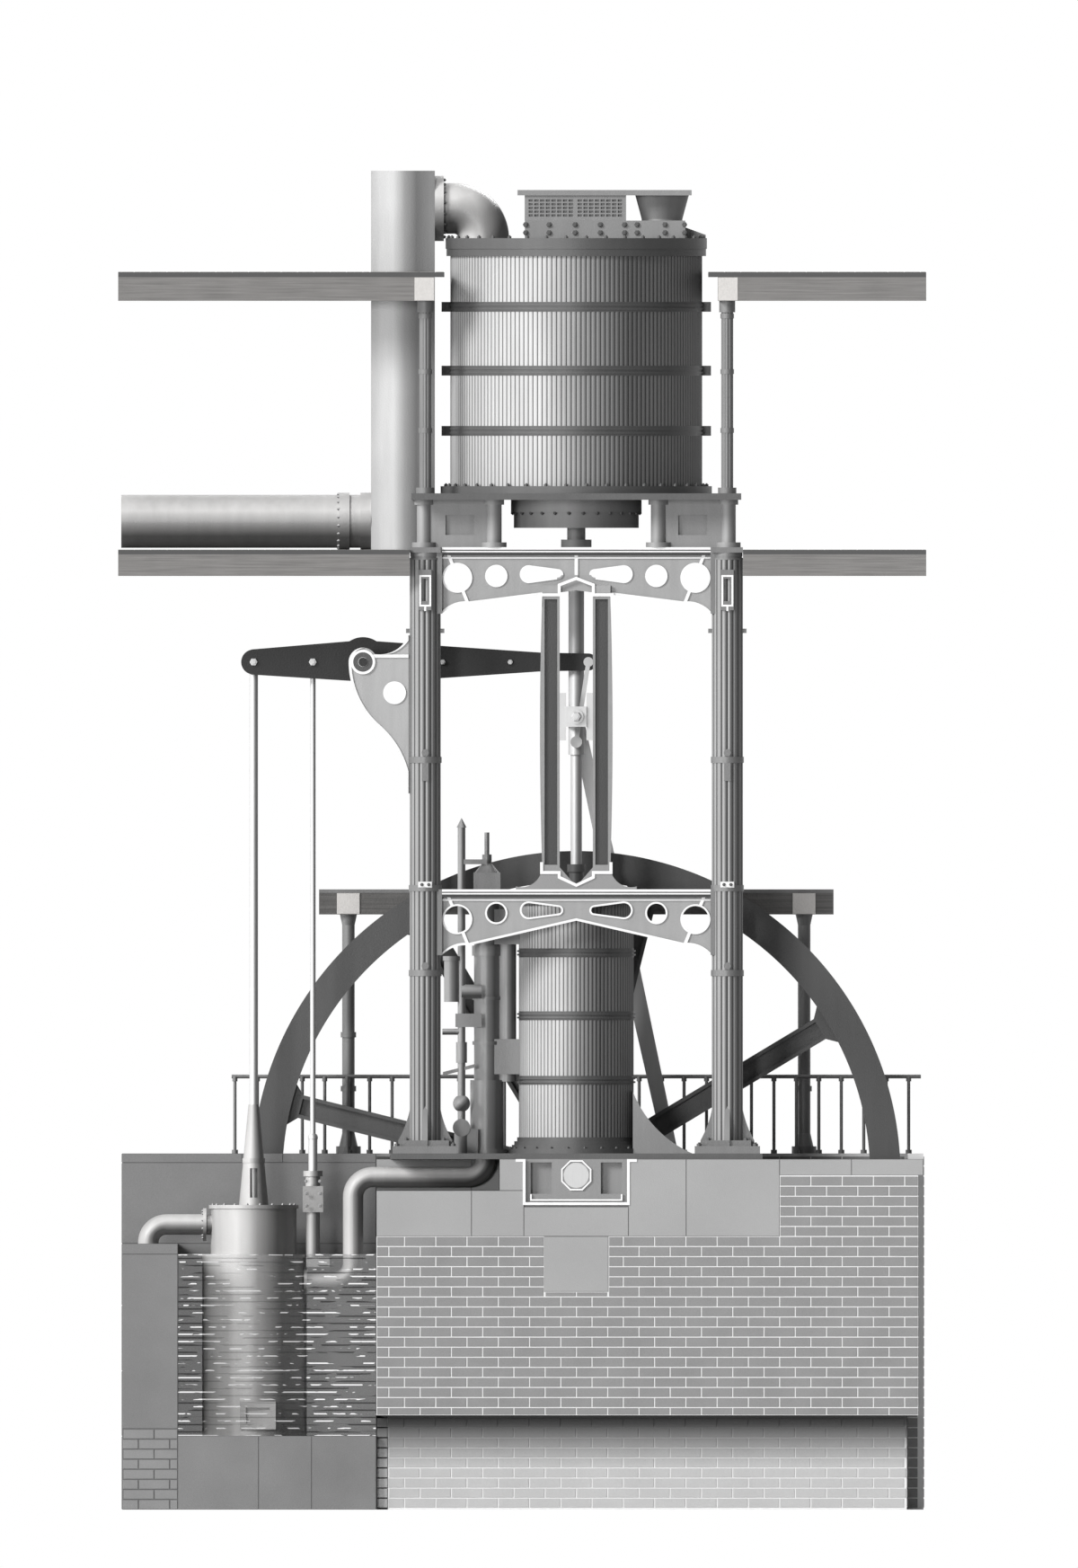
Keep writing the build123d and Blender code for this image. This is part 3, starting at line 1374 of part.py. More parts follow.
save(condenser.part, "condenser")

# Overflow pipe that turns down on to the ledge
with BuildPart() as overflow:
    overflow_start = overflow_root - seat_gap
    with BuildLine(Plane.XZ) as route:
        Line((overflow_start, overflow_z), (overflow_x + overflow_bend, overflow_z))
        bend_end = (overflow_x, overflow_z - overflow_bend)
        RadiusArc((overflow_x + overflow_bend, overflow_z), bend_end, -overflow_bend)
        Line(bend_end, (overflow_x, ledge_top + seat_gap))
    with BuildSketch(Plane.YZ.offset(overflow_start)):
        with Locations((0, overflow_z)):
            Circle(overflow_radius)
    sweep(path=route.line)
    flange_end = overflow_start - overflow_flange_height
    side_bar(flange_end, overflow_start, 0, overflow_z, overflow_radius + overflow_flange_lip)
save(overflow.part, "overflow_pipe")

# Exhaust pipe from the condenser, up the pit and through the bed plate to the valve chest
with BuildPart() as exhaust:
    exhaust_start = air_pump_x + condenser_radius + seat_gap
    bend = exhaust_bend
    with BuildLine(Plane.XZ) as route:
        Line((exhaust_start, exhaust_low_z), (exhaust_riser_x - bend, exhaust_low_z))
        RadiusArc((exhaust_riser_x - bend, exhaust_low_z), (exhaust_riser_x, exhaust_low_z + bend), -bend)
        Line((exhaust_riser_x, exhaust_low_z + bend), (exhaust_riser_x, exhaust_high_z - bend))
        RadiusArc((exhaust_riser_x, exhaust_high_z - bend), (exhaust_riser_x + bend, exhaust_high_z), bend)
        Line((exhaust_riser_x + bend, exhaust_high_z), (exhaust_x - bend, exhaust_high_z))
        RadiusArc((exhaust_x - bend, exhaust_high_z), (exhaust_x, exhaust_high_z + bend), -bend)
        Line((exhaust_x, exhaust_high_z + bend), (exhaust_x, floor - seat_gap))
    with BuildSketch(Plane.YZ.offset(exhaust_start)):
        with Locations((0, exhaust_low_z)):
            Circle(exhaust_radius)
    sweep(path=route.line)
    flange_radius = exhaust_radius + exhaust_flange_reach
    side_bar(exhaust_start, exhaust_start + exhaust_flange_length, 0, exhaust_low_z, flange_radius)
save(exhaust.part, "exhaust_pipe")

# Feed pump on its girder from the pit wall
with BuildPart() as feed_pump:
    feed_foot_top = feed_foot_z + feed_foot_height
    feed_foot_x = (feed_pump_x - feed_foot_near, feed_pump_x + feed_foot_far)
    block(feed_foot_x, (-feed_near, pit_back), (feed_foot_z, feed_foot_top))
    disc(feed_pump_x, 0, feed_foot_top, feed_barrel_radius, feed_barrel_height)
    box_foot = feed_foot_top + feed_barrel_height
    box_x = (feed_pump_x - feed_box_half, feed_pump_x + feed_box_half)
    block(box_x, (-feed_box_half, feed_box_half), (box_foot, box_foot + feed_box_height))
    gland_base = box_foot + feed_box_height
    gland_end = gland_base + feed_gland_height
    disc(feed_pump_x, 0, gland_base, feed_gland_neck, feed_gland_height)
    disc(feed_pump_x, 0, gland_end - feed_gland_head, feed_gland_radius, feed_gland_head)
    plunger_hole = plunger_radius + running_clearance
    hole_foot = feed_foot_z + feed_hole_rise
    disc(feed_pump_x, 0, hole_foot, plunger_hole, gland_end - hole_foot, Mode.SUBTRACT)
save(feed_pump.part, "feed_pump")

# Flywheel: rim, hub and eight arms cast with edge flanges
with BuildPart() as flywheel:
    wheel_middle = (wheel_near + wheel_far) / 2
    rim_half = wheel_width / 2
    rim_inner = wheel_radius - rim_height
    with BuildSketch(upright(wheel_middle)):
        with Locations((0, shaft_z)):
            Circle(wheel_radius)
            Circle(rim_inner, mode=Mode.SUBTRACT)
    extrude(amount=rim_half, both=True)
    with BuildSketch(upright(wheel_middle)):
        with Locations((0, shaft_z)):
            with PolarLocations(0, arm_count, start_angle=arm_angle):
                fillet_root = arm_width / 2
                Polygon(
                    (rim_inner - arm_fillet, -fillet_root),
                    (rim_inner, -fillet_root - arm_fillet),
                    (rim_inner + arm_fillet, -fillet_root - arm_fillet),
                    (rim_inner + arm_fillet, fillet_root + arm_fillet),
                    (rim_inner, fillet_root + arm_fillet),
                    (rim_inner - arm_fillet, fillet_root),
                    align=None,
                )
    extrude(amount=arm_depth / 2, both=True)
    with BuildSketch(upright(wheel_middle)):
        with Locations((0, shaft_z)):
            Circle(hub_radius)
    extrude(amount=hub_length / 2, both=True)
    arm_length = wheel_radius - rim_height / 2
    with BuildSketch(upright(wheel_middle)):
        with Locations((0, shaft_z)):
            with PolarLocations(arm_length / 2, arm_count, start_angle=arm_angle):
                Rectangle(arm_length, arm_width)
    extrude(amount=arm_flange / 2, both=True)
    with BuildSketch(upright(wheel_middle)):
        with Locations((0, shaft_z)):
            with PolarLocations(arm_length / 2, arm_count, start_angle=arm_angle):
                with Locations((0, arm_width / 2 - arm_lip / 2), (0, arm_lip / 2 - arm_width / 2)):
                    Rectangle(arm_length, arm_lip)
    extrude(amount=arm_depth / 2, both=True)
    with BuildSketch(upright(wheel_middle + hub_length)):
        with Locations((0, shaft_z)):
            Circle(shaft_radius + running_clearance)
    extrude(amount=2 * hub_length, mode=Mode.SUBTRACT)
save(flywheel.part, "flywheel")

# Crankshaft with its crank behind the wheel
with BuildPart() as crankshaft:
    cross_bar(0, shaft_z, shaft_radius, -bearing_y - bearing_length / 2 - shaft_end, crank_far)
    with BuildSketch(upright(crank_far)):
        with Locations((0, shaft_z)):
            Circle(crank_hub_radius)
        with Locations((crank_radius, shaft_z)):
            Circle(crank_boss_radius)
        make_hull()
    extrude(amount=crank_far - crank_near)
    cross_bar(crank_radius, shaft_z, crank_pin_radius, crank_far, rod_near - side_clearance)
save(crankshaft.part, "crankshaft")

# Connecting rod from the gudgeon to the crank pin
rod_reach = math.hypot(crank_radius, crosshead_z - shaft_z)
rod_direction = (crank_radius, 0, shaft_z - crosshead_z)
rod_plane = Plane(origin=(0, rod_far, crosshead_z), x_dir=rod_direction, z_dir=(0, -1, 0))
with BuildPart() as connecting_rod:
    with BuildSketch(rod_plane):
        Circle(small_end_radius)
        with Locations((rod_reach, 0)):
            Circle(big_end_radius)
    extrude(amount=rod_far - rod_near)
    with BuildSketch(rod_plane.offset((rod_far - rod_near) / 2)):
        with BuildLine():
            Polyline(
                (0, rod_small_width / 2),
                (rod_reach / 2, rod_middle_width / 2),
                (rod_reach, rod_small_width / 2),
                (rod_reach, -rod_small_width / 2),
                (rod_reach / 2, -rod_middle_width / 2),
                (0, -rod_small_width / 2),
                close=True,
            )
        make_face()
    extrude(amount=rod_thickness / 2, both=True)
    cross_bar(0, crosshead_z, gudgeon_radius + running_clearance, rod_near, rod_far, Mode.SUBTRACT)
save(connecting_rod.part, "connecting_rod")

# Crosshead: a long beam through both guides, with shoes, rod sockets and the gudgeon at the back
crosshead_top = crosshead_z + crosshead_half
crosshead_foot = crosshead_z - crosshead_half
with BuildPart() as crosshead:
    beam_y = (-frame_depth - crosshead_overhang, frame_depth + crosshead_overhang)
    block((-crosshead_half, crosshead_half), beam_y, (crosshead_foot, crosshead_top))
    pin_end = rod_far + gudgeon_clearance
    cross_bar(0, crosshead_z, gudgeon_radius, beam_y[0] - gudgeon_head, pin_end)
    cross_bar(0, crosshead_z, gudgeon_radius + gudgeon_collar, pin_end, rod_far + gudgeon_collar_end)
    shoe_z = (crosshead_z - shoe_height / 2, crosshead_z + shoe_height / 2)
    shoe_half = guide_gap / 2 - seat_gap
    for y in (-frame_depth, frame_depth):
        for side in (-1, 1):
            shoe_x = sorted((side * crosshead_half, side * shoe_half))
            block(shoe_x, (y - guide_depth / 2, y + guide_depth / 2), shoe_z)
    disc(0, 0, crosshead_foot - socket_depth, socket_radius, socket_depth)
    cross_bar(0, link_eye_z, link_eye_radius, -link_near + seat_gap, link_near - seat_gap)
    for low, high in ((-link_far, -link_near), (link_near, link_far)):
        notch_y = (low - side_clearance, high + side_clearance)
        block((link_notch, crosshead_half), notch_y, (crosshead_foot, crosshead_top), Mode.SUBTRACT)
    disc(0, 0, crosshead_top - rod_socket, blowing_rod_radius + running_clearance, rod_socket, Mode.SUBTRACT)
    steam_socket_foot = crosshead_foot - socket_depth
    disc(0, 0, steam_socket_foot, steam_rod_radius + running_clearance, rod_socket, Mode.SUBTRACT)
save(crosshead.part, "crosshead")

# Links from the crosshead up to the end of the beam
with BuildPart() as links:
    for low, high in ((-link_far, -link_near), (link_near, link_far)):
        with BuildSketch(upright(high)):
            with Locations((0, link_eye_z)):
                Circle(link_eye_radius)
            with Locations((beam_end_x, beam_pivot_z)):
                Circle(link_head_radius)
            with BuildLine():
                Polyline(
                    (-link_width / 2, link_eye_z),
                    (beam_end_x - link_width / 2, beam_pivot_z),
                    (beam_end_x + link_width / 2, beam_pivot_z),
                    (link_width / 2, link_eye_z),
                    close=True,
                )
            make_face()
        extrude(amount=high - low)
save(links.part, "beam_links")

# Piston rods with their pistons
blowing_piston_z = (barrel_foot + barrel_top) / 2
with BuildPart() as blowing_piston:
    rod_foot = crosshead_top - rod_socket
    piston_rim = bore_radius - piston_clearance
    disc(0, 0, blowing_piston_z - rim_depth / 2, piston_rim, rim_depth)
    hollow_depth = (rim_depth - piston_web) / 2
    for hollow_z in (blowing_piston_z - rim_depth / 2, blowing_piston_z + piston_web / 2):
        disc(0, 0, hollow_z, piston_rim - rim_thickness, hollow_depth, Mode.SUBTRACT)
    disc(0, 0, blowing_piston_z - rim_depth / 2, piston_hub, rim_depth)
    disc(0, 0, rod_foot, blowing_rod_radius, blowing_piston_z - rod_foot)
save(blowing_piston.part, "blowing_piston")

steam_piston_z = (floor + steam_bottom + steam_top) / 2
with BuildPart() as steam_piston:
    rod_top = crosshead_foot - socket_depth + rod_socket
    disc(0, 0, steam_piston_z, steam_rod_radius, rod_top - steam_piston_z)
    disc(0, 0, steam_piston_z - steam_piston_depth / 2, steam_bore - piston_clearance, steam_piston_depth)
save(steam_piston.part, "steam_piston")

# Rocking beam: two cheeks with distance bolts, on a trunnion between the brackets
cheek_near = cheek_gap / 2
cheek_far = cheek_near + cheek_thickness
tail_top = (air_pump_x - beam_tail_inset, beam_pivot_z + beam_tail_radius)
tail_foot = (air_pump_x - beam_tail_inset, beam_pivot_z - beam_tail_radius)
hump_left = (beam_pivot_x - beam_hump_half, beam_pivot_z + beam_shoulder)
hump_top = (beam_pivot_x, beam_pivot_z + beam_hump_rise)
hump_right = (beam_pivot_x + beam_hump_half, beam_pivot_z + beam_shoulder)
middle_top = (beam_middle_x, beam_pivot_z + beam_middle)
middle_foot = (beam_middle_x, beam_pivot_z - beam_middle)
neck_top_point = (beam_end_x - beam_neck_length, beam_pivot_z + beam_neck)
neck_foot_point = (beam_end_x - beam_neck_length, beam_pivot_z - beam_neck)
head_top = (beam_end_x, beam_pivot_z + beam_head_radius)
head_foot = (beam_end_x, beam_pivot_z - beam_head_radius)
belly = (beam_pivot_x, beam_pivot_z - beam_belly)
with BuildPart() as beam:
    for low, high in ((-cheek_far, -cheek_near), (cheek_near, cheek_far)):
        with BuildSketch(upright(high)):
            with BuildLine():
                Line(tail_top, hump_left)
                ThreePointArc(hump_left, hump_top, hump_right)
                Line(hump_right, middle_top)
                Line(middle_top, neck_top_point)
                Line(neck_top_point, head_top)
                Line(head_top, head_foot)
                Line(head_foot, neck_foot_point)
                Line(neck_foot_point, middle_foot)
                Line(middle_foot, belly)
                Line(belly, tail_foot)
                Line(tail_foot, tail_top)
            make_face()
            with Locations((air_pump_x, beam_pivot_z)):
                Circle(beam_tail_radius)
            with Locations((beam_end_x, beam_pivot_z)):
                Circle(beam_head_radius)
        extrude(amount=high - low)
    cross_bar(beam_pivot_x, beam_pivot_z, trunnion_radius, -trunnion_reach, trunnion_reach)
    boss_end = cheek_far + beam_boss_head
    cross_bar(beam_pivot_x, beam_pivot_z, pivot_boss, -boss_end, boss_end)
    stud_end = cheek_far + beam_stud_head
    for x in distance_bolts:
        cross_bar(x, beam_pivot_z, beam_stud_radius, -stud_end, stud_end)
save(beam.part, "beam")

# Pump rods, each with an eye between the cheeks
eye_half = cheek_near - side_clearance
with BuildPart() as air_rod:
    rod_foot = neck_foot - air_rod_depth + air_rod_stroke + air_rod_bottom
    disc(air_pump_x, 0, rod_foot, air_rod_radius, beam_pivot_z - rod_foot)
    cross_bar(air_pump_x, beam_pivot_z, pump_eye_radius, -eye_half, eye_half)
save(air_rod.part, "air_pump_rod")

with BuildPart() as feed_plunger:
    plunger_foot = hole_foot + feed_rod_stroke + plunger_bottom
    disc(feed_pump_x, 0, plunger_foot, plunger_radius, feed_joint_z - plunger_foot)
    disc(feed_pump_x, 0, feed_joint_z, feed_rod_radius, beam_pivot_z - feed_joint_z)
    with Locations((feed_pump_x, 0, feed_joint_z)):
        Sphere(feed_ball_radius)
    cross_bar(feed_pump_x, beam_pivot_z, feed_eye_radius, -eye_half, eye_half)
save(feed_plunger.part, "feed_plunger")
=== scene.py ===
# %% [markdown]
# A vertical blowing engine, dressed over its packed construction.
# The construction gives every solid its place and its motion. This lesson adds what makes it look
# like the engine in the engraving: brickwork, dressed stone, lagged cylinders, reeded columns, nuts,
# boards, timber ends and water, and a finish for every surface. Sizes are in metres, and a place
# that is read off the drawing is given as its column and row there.

import math

import bpy
import numpy as np
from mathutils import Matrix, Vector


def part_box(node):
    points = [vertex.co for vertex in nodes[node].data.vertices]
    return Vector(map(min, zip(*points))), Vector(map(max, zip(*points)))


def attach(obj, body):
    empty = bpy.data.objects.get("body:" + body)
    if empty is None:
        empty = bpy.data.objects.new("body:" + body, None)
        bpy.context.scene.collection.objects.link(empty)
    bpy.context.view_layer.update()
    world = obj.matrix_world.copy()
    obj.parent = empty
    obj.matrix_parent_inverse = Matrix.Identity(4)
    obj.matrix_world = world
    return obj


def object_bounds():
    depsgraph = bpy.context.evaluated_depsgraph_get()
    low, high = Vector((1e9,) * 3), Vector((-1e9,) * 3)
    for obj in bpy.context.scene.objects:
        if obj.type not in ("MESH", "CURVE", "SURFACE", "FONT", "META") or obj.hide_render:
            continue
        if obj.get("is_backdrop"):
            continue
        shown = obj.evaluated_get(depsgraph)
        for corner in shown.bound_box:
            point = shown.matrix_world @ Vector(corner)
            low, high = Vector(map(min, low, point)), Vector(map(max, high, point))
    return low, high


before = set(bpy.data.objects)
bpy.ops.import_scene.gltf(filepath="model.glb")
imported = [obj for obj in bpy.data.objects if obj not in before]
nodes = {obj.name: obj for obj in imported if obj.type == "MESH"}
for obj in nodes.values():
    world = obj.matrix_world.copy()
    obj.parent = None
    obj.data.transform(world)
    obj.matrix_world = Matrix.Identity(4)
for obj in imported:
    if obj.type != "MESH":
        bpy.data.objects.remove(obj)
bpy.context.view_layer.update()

# %% [markdown]
# The engraving is a flat front elevation, so an orthographic camera at the height of the page's
# middle gives the same picture. The scale of the drawing ties a place on the page to a place on the
# engine, so across() and height() are used wherever something is set where the engraver drew it.

# %% Scale of the drawing, and the camera
metres_per_dot = 0.011
axis_column = 641.5
ground_row = 1680.0
page_width = 1200
page_height = 1745
camera_distance = 40.0


def across(column):
    """Distance right of the engine's axis for a column of the drawing."""
    return (column - axis_column) * metres_per_dot


def height(row):
    """Height above the ground for a row of the drawing."""
    return (ground_row - row) * metres_per_dot


def put(name, data):
    """Puts an object with this data into the scene, at the origin."""
    made = bpy.data.objects.new(name, data)
    bpy.context.scene.collection.objects.link(made)
    return made


camera_data = bpy.data.cameras.new("camera")
camera_data.type = "ORTHO"
camera_data.ortho_scale = page_height * metres_per_dot
camera_data.clip_end = 600.0
camera = put("camera", camera_data)
camera.location = (across(page_width / 2), -camera_distance, height(page_height / 2))
camera.rotation_euler = (math.pi / 2, 0, 0)
bpy.context.scene.camera = camera
print("camera sees", round(camera_data.ortho_scale, 2), "m from top to bottom")

# %% [markdown]
# Shader sums read best as ordinary sums. Field wraps one output of a node, and its operators
# add Math nodes. Finish holds a material while it is being made, and its one method node() makes
# every other kind of node: the settings go in first, then the values or links of its sockets.

# %% A value over a surface, and a finish
class Field:
    """A number that varies over a surface. Sums with it add Math nodes to its finish."""

    def __init__(self, finish, socket):
        self.finish = finish
        self.socket = socket

    def sum(self, operation, first, second=0.0):
        return self.finish.node("ShaderNodeMath", {"operation": operation}, {0: first, 1: second})

    def __add__(self, other):
        return self.sum("ADD", self, other)

    def __radd__(self, other):
        return self.sum("ADD", other, self)

    def __sub__(self, other):
        return self.sum("SUBTRACT", self, other)

    def __rsub__(self, other):
        return self.sum("SUBTRACT", other, self)

    def __mul__(self, other):
        return self.sum("MULTIPLY", self, other)

    def __rmul__(self, other):
        return self.sum("MULTIPLY", other, self)

    def __truediv__(self, other):
        return self.sum("DIVIDE", self, other)

    def __abs__(self):
        return self.sum("ABSOLUTE", self)

    def __gt__(self, other):
        return self.sum("GREATER_THAN", self, other)

    def __lt__(self, other):
        return self.sum("LESS_THAN", self, other)


class Finish:
    """A material in the making, with its one surface shader."""

    def __init__(self, name, constants):
        self.material = bpy.data.materials.new(name)
        self.material.use_nodes = True
        self.tree = self.material.node_tree
        self.shader = self.tree.nodes["Principled BSDF"]
        for socket, value in constants.items():
            self.shader.inputs[socket].default_value = value

    def node(self, kind, settings, inputs, output=0):
        """Makes a node: first its settings, then its sockets. Gives one of its outputs."""
        made = self.tree.nodes.new(kind)
        for name, value in settings.items():
            if name == "stops":
                ramp = made.color_ramp
                for number, (place, tone) in enumerate(value):
                    stop = ramp.elements[number] if number < 2 else ramp.elements.new(place)
                    stop.position = place
                    stop.color = (tone, tone, tone, 1.0)
            else:
                setattr(made, name, value)
        for name, value in inputs.items():
            self.join(made.inputs[name], value)
        return Field(self, made.outputs[output])

    def join(self, socket, value):
        """Links a field to a socket, or sets the socket to a plain value."""
        if isinstance(value, Field):
            self.tree.links.new(value.socket, socket)
        else:
            socket.default_value = value

    def place(self):
        """Object coordinates, which on this engine are metres in the shared frame."""
        return self.node("ShaderNodeTexCoord", {}, {}, "Object")

    def split(self, vector):
        """The three numbers of a vector."""
        return [self.node("ShaderNodeSeparateXYZ", {}, {0: vector}, axis) for axis in range(3)]

    def spot(self):
        """The three coordinates of a point of the surface."""
        return self.split(self.place())

    def normal(self):
        """The three parts of the direction in which a face looks, each from -1 to 1."""
        return self.split(self.node("ShaderNodeNewGeometry", {}, {}, "Normal"))

    def distance(self, first, second):
        """Distance from an axis: the root of first squared plus second squared."""
        return self.node("ShaderNodeMath", {"operation": "SQRT"}, {0: first * first + second * second})

    def facing(self):
        """How squarely a face looks along each axis, from 0 to 1."""
        return [abs(part) for part in self.normal()]

    def noise(self, size, detail=3.0, stretch=(1.0, 1.0, 1.0)):
        """Cloudy noise whose patches are about size metres across, drawn out along stretch."""
        scale = tuple(1.0 / (size * part) for part in stretch)
        spread = self.node("ShaderNodeMapping", {}, {"Vector": self.place(), "Scale": scale})
        return self.node("ShaderNodeTexNoise", {}, {"Vector": spread, "Scale": 1.0, "Detail": detail})

    def blend(self, factor, first, second):
        """One colour into another by a factor."""
        return self.node("ShaderNodeMix", {"data_type": "RGBA"}, {0: factor, 6: first, 7: second}, 2)

    def cover(self, colour):
        """Sets the base colour."""
        self.join(self.shader.inputs["Base Color"], colour)

    def under(self):
        """The base colour so far."""
        return Field(self, self.shader.inputs["Base Color"].links[0].from_socket)

    def paint(self, mask, colour):
        """Covers the base colour with another one where the mask is 1."""
        self.cover(self.blend(mask, self.under(), colour))

    def shade(self, turn, amount):
        """Paints light and shade: multiplies the base colour by 1 + amount x (2 tone(turn) - 1), with
        turn from -1 to 1.
        """
        level = self.node("ShaderNodeValToRGB", {"stops": painted_shade_tones}, {0: turn * 0.5 + 0.5})
        factor = (level * 2.0 - 1.0) * amount + 1.0
        settings = {"data_type": "RGBA", "blend_type": "MULTIPLY"}
        self.cover(self.node("ShaderNodeMix", settings, {0: 1.0, 6: self.under(), 7: factor}, 2))

    def bump(self, relief, depth):
        """Roughens the surface: relief is 0 to 1, depth is its size in metres."""
        raised = self.node("ShaderNodeBump", {}, {"Height": relief, "Distance": depth, "Strength": 1.0})
        self.join(self.shader.inputs["Normal"], raised)


# Painted shade: tones of the base colour, from a face turned to the upper left to one turned away.
painted_shade_tones = ((0.0, 0.70), (0.15, 0.93), (0.35, 1.0), (0.53, 0.38), (0.71, 0.10), (0.93, 0.21))


def grey(value, warmth=0.0):
    """A grey of the engraving, a little warmer or cooler."""
    return (value * (1 + warmth), value, value * (1 - warmth), 1.0)


# %% [markdown]
# The engraver shaded by tone and not only by light: every round form is pale towards the upper left,
# a plain tone where it faces the reader, nearly black past the middle and a little lighter again at
# its right edge. The method shade() above paints that scale of light and shade into the base colour of
# a finish. What drives it is how far a face turns away from the upper left, or a place across a drum.

# %% [markdown]
# Most of the engine is cast iron under dull paint. Real castings are never one flat colour: the
# sand of the mould leaves a fine grain, oil and soot leave broad patches, and water draws faint
# streaks downwards. Three noises of different sizes give that, at the size of the real marks.

# %% Cast iron
def cast_iron(name, tone, shine=0.45, warmth=0.0, painted_shade_amount=0.55):
    """Painted casting: colour = tone x (patches + streaks) x painted shade(turn), turn = 0.75 (nx -
    nz).
    """
    made = Finish(name, {"Metallic": 0.0, "Specular IOR Level": 0.3})
    patches = made.noise(0.9)
    streaks = made.noise(0.12, 2.0, (1.0, 1.0, 9.0))
    grain = made.noise(0.02, 4.0)
    shade = patches * 0.55 + streaks * 0.45
    colour = made.blend(shade, grey(tone * 0.72, warmth), grey(tone * 1.28, warmth))
    made.cover(colour)
    # Painted light and shade: paler where a face looks left or up, darker where it looks right or down.
    look = made.normal()
    made.shade((look[0] - look[2]) * 0.75, painted_shade_amount)
    made.join(made.shader.inputs["Roughness"], shine - 0.1 + patches * 0.2)
    made.bump(grain, 0.0025)
    return made


black_iron = cast_iron("black_iron", 0.012, 0.55)
wheel_iron = cast_iron("wheel_iron", 0.070, 0.5)
dark_iron = cast_iron("dark_iron", 0.080, 0.45)
rail_iron = cast_iron("rail_iron", 0.15, 0.45)
pump_iron = cast_iron("pump_iron", 0.29, 0.42, 0.01, painted_shade_amount=1.0)
pipe_iron = cast_iron("pipe_iron", 0.30, 0.34, 0.01, painted_shade_amount=0.95)
gear_iron = cast_iron("gear_iron", 0.26, 0.32, painted_shade_amount=0.9)
column_iron = cast_iron("column_iron", 0.155, 0.38)
plate_iron = cast_iron("plate_iron", 0.23, 0.5)
guard_iron = cast_iron("guard_iron", 0.22, 0.5, painted_shade_amount=0.3)
print("cast finishes made")

# %% [markdown]
# The square air trunk is sheet iron. Its colour carries painted shade like a drum all the same, from a
# pale left to a dark right, so the place across the trunk drives the scale of painted tones.

# %% Trunk iron
def across_drum(finish, centre, radius):
    """Place across an upright drum: -1 at its left edge, 0 in the middle and 1 at its right edge."""
    return (finish.spot()[0] - centre) / radius


trunk_low, trunk_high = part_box("air_trunk")
trunk_middle = (trunk_low.x + trunk_high.x) / 2
trunk_half = (trunk_high.x - trunk_low.x) / 2
trunk_iron = cast_iron("trunk_iron", 0.33, 0.42, painted_shade_amount=0.0)
# Painted shade across the flat trunk: pale at its left, dark at its right.
trunk_iron.shade(across_drum(trunk_iron, trunk_middle, trunk_half), 0.85)
print("trunk is", round(2 * trunk_half, 2), "m wide")

# %% [markdown]
# The girders, the brackets of the beam and the guides are cast the same way, but their rims, ribs and
# edge lips are painted pale, where the engraver left white lines. Those faces look forwards
# or backwards and stand at known depths from the middle of the casting, which picks them out.

# %% Iron with pale edges
frame_depth = 1.1


def edged_iron(name, tone, edge, levels):
    """Cast iron with pale front and back faces where the depth from its middle lies in a level."""
    made = cast_iron(name, tone)
    depth = abs(abs(made.spot()[1]) - frame_depth)
    looks = made.facing()[1] > 0.8
    pale_variation = made.noise(0.15)
    pale = made.blend(pale_variation, grey(edge * 0.8), grey(edge))
    for low, high in levels:
        made.paint((depth > low) * (depth < high) * looks, pale)
    return made


girder_iron = edged_iron("girder_iron", 0.30, 0.85, ((0.045, 0.070), (0.115, 0.125)))
bracket_iron = edged_iron("bracket_iron", 0.36, 0.80, ((0.075, 0.085),))
guide_iron = edged_iron("guide_iron", 0.042, 0.26, ((0.100, 0.115),))

# Painted shade: two dark grooves are painted along the flange of every girder, at these depths below
# its top.
girder_level = girder_iron.spot()[2]
girder_front = girder_iron.facing()[1] > 0.8
groove_shade_depths = ((0.030, 0.045), (0.062, 0.098))
for flange_top in (height(989.7), height(609.0)):
    for top, foot in groove_shade_depths:
        groove_shade = (girder_level < flange_top - top) * (girder_level > flange_top - foot)
        girder_iron.paint(groove_shade * girder_front, grey(0.03))

# The hip of the upper girder, over the heads of the guides, is plain like its web.
hip_half = 0.235
in_hip = abs(girder_iron.spot()[0]) < hip_half
hip_tone = girder_iron.blend(girder_iron.noise(0.9), grey(0.22), grey(0.34))
girder_iron.paint(in_hip * (girder_level < height(640)) * (girder_level > height(664)), hip_tone)

# The foot of a guide is cast like a girder.
guide_level = guide_iron.spot()[2]
foot_tone = guide_iron.blend(guide_iron.noise(0.9), grey(0.19), grey(0.29))
guide_iron.paint(guide_level < height(970.0), foot_tone)


def ringed(finish, centre_x, centre_z, inner, outer, tone):
    """Paints a ring between two radii round a level axis that runs from front to back."""
    place = finish.spot()
    radius = finish.distance(place[0] - centre_x, place[2] - centre_z)
    finish.paint((radius > inner) * (radius < outer) * (finish.facing()[1] > 0.8), grey(tone))


pivot_x = -2.6125
beam_level = 10.376
for inner, outer, tone in ((0.0, 0.120, 0.06), (0.120, 0.150, 0.80), (0.042, 0.058, 0.75)):
    ringed(bracket_iron, pivot_x, beam_level, inner, outer, tone)
ringed(bracket_iron, across(439.2), height(771), 0.100, 0.136, 0.80)
print("edged finishes made")

# %% [markdown]
# Rods, links and the crosshead are bright steel, turned and then polished along their length, so
# a fine noise drawn out upwards varies the roughness and breaks up the highlight.

# %% Bright steel
def steel(name, tone):
    """Polished steel: colour = tone x (0.82 to 1 in upright lines) x painted shade(0.9 nx)."""
    made = Finish(name, {"Metallic": 0.3, "Specular IOR Level": 0.3})
    lines = made.noise(0.01, 3.0, (1.0, 1.0, 30.0))
    colour = made.blend(lines, grey(tone * 0.82), grey(tone))
    made.cover(colour)
    # Painted light and shade: paler where a face looks left, darker where it looks right.
    made.shade(made.normal()[0] * 0.9, 0.8)
    made.join(made.shader.inputs["Roughness"], 0.40 + lines * 0.2)
    made.bump(lines, 0.0006)
    return made


bright_steel = steel("bright_steel", 0.50)
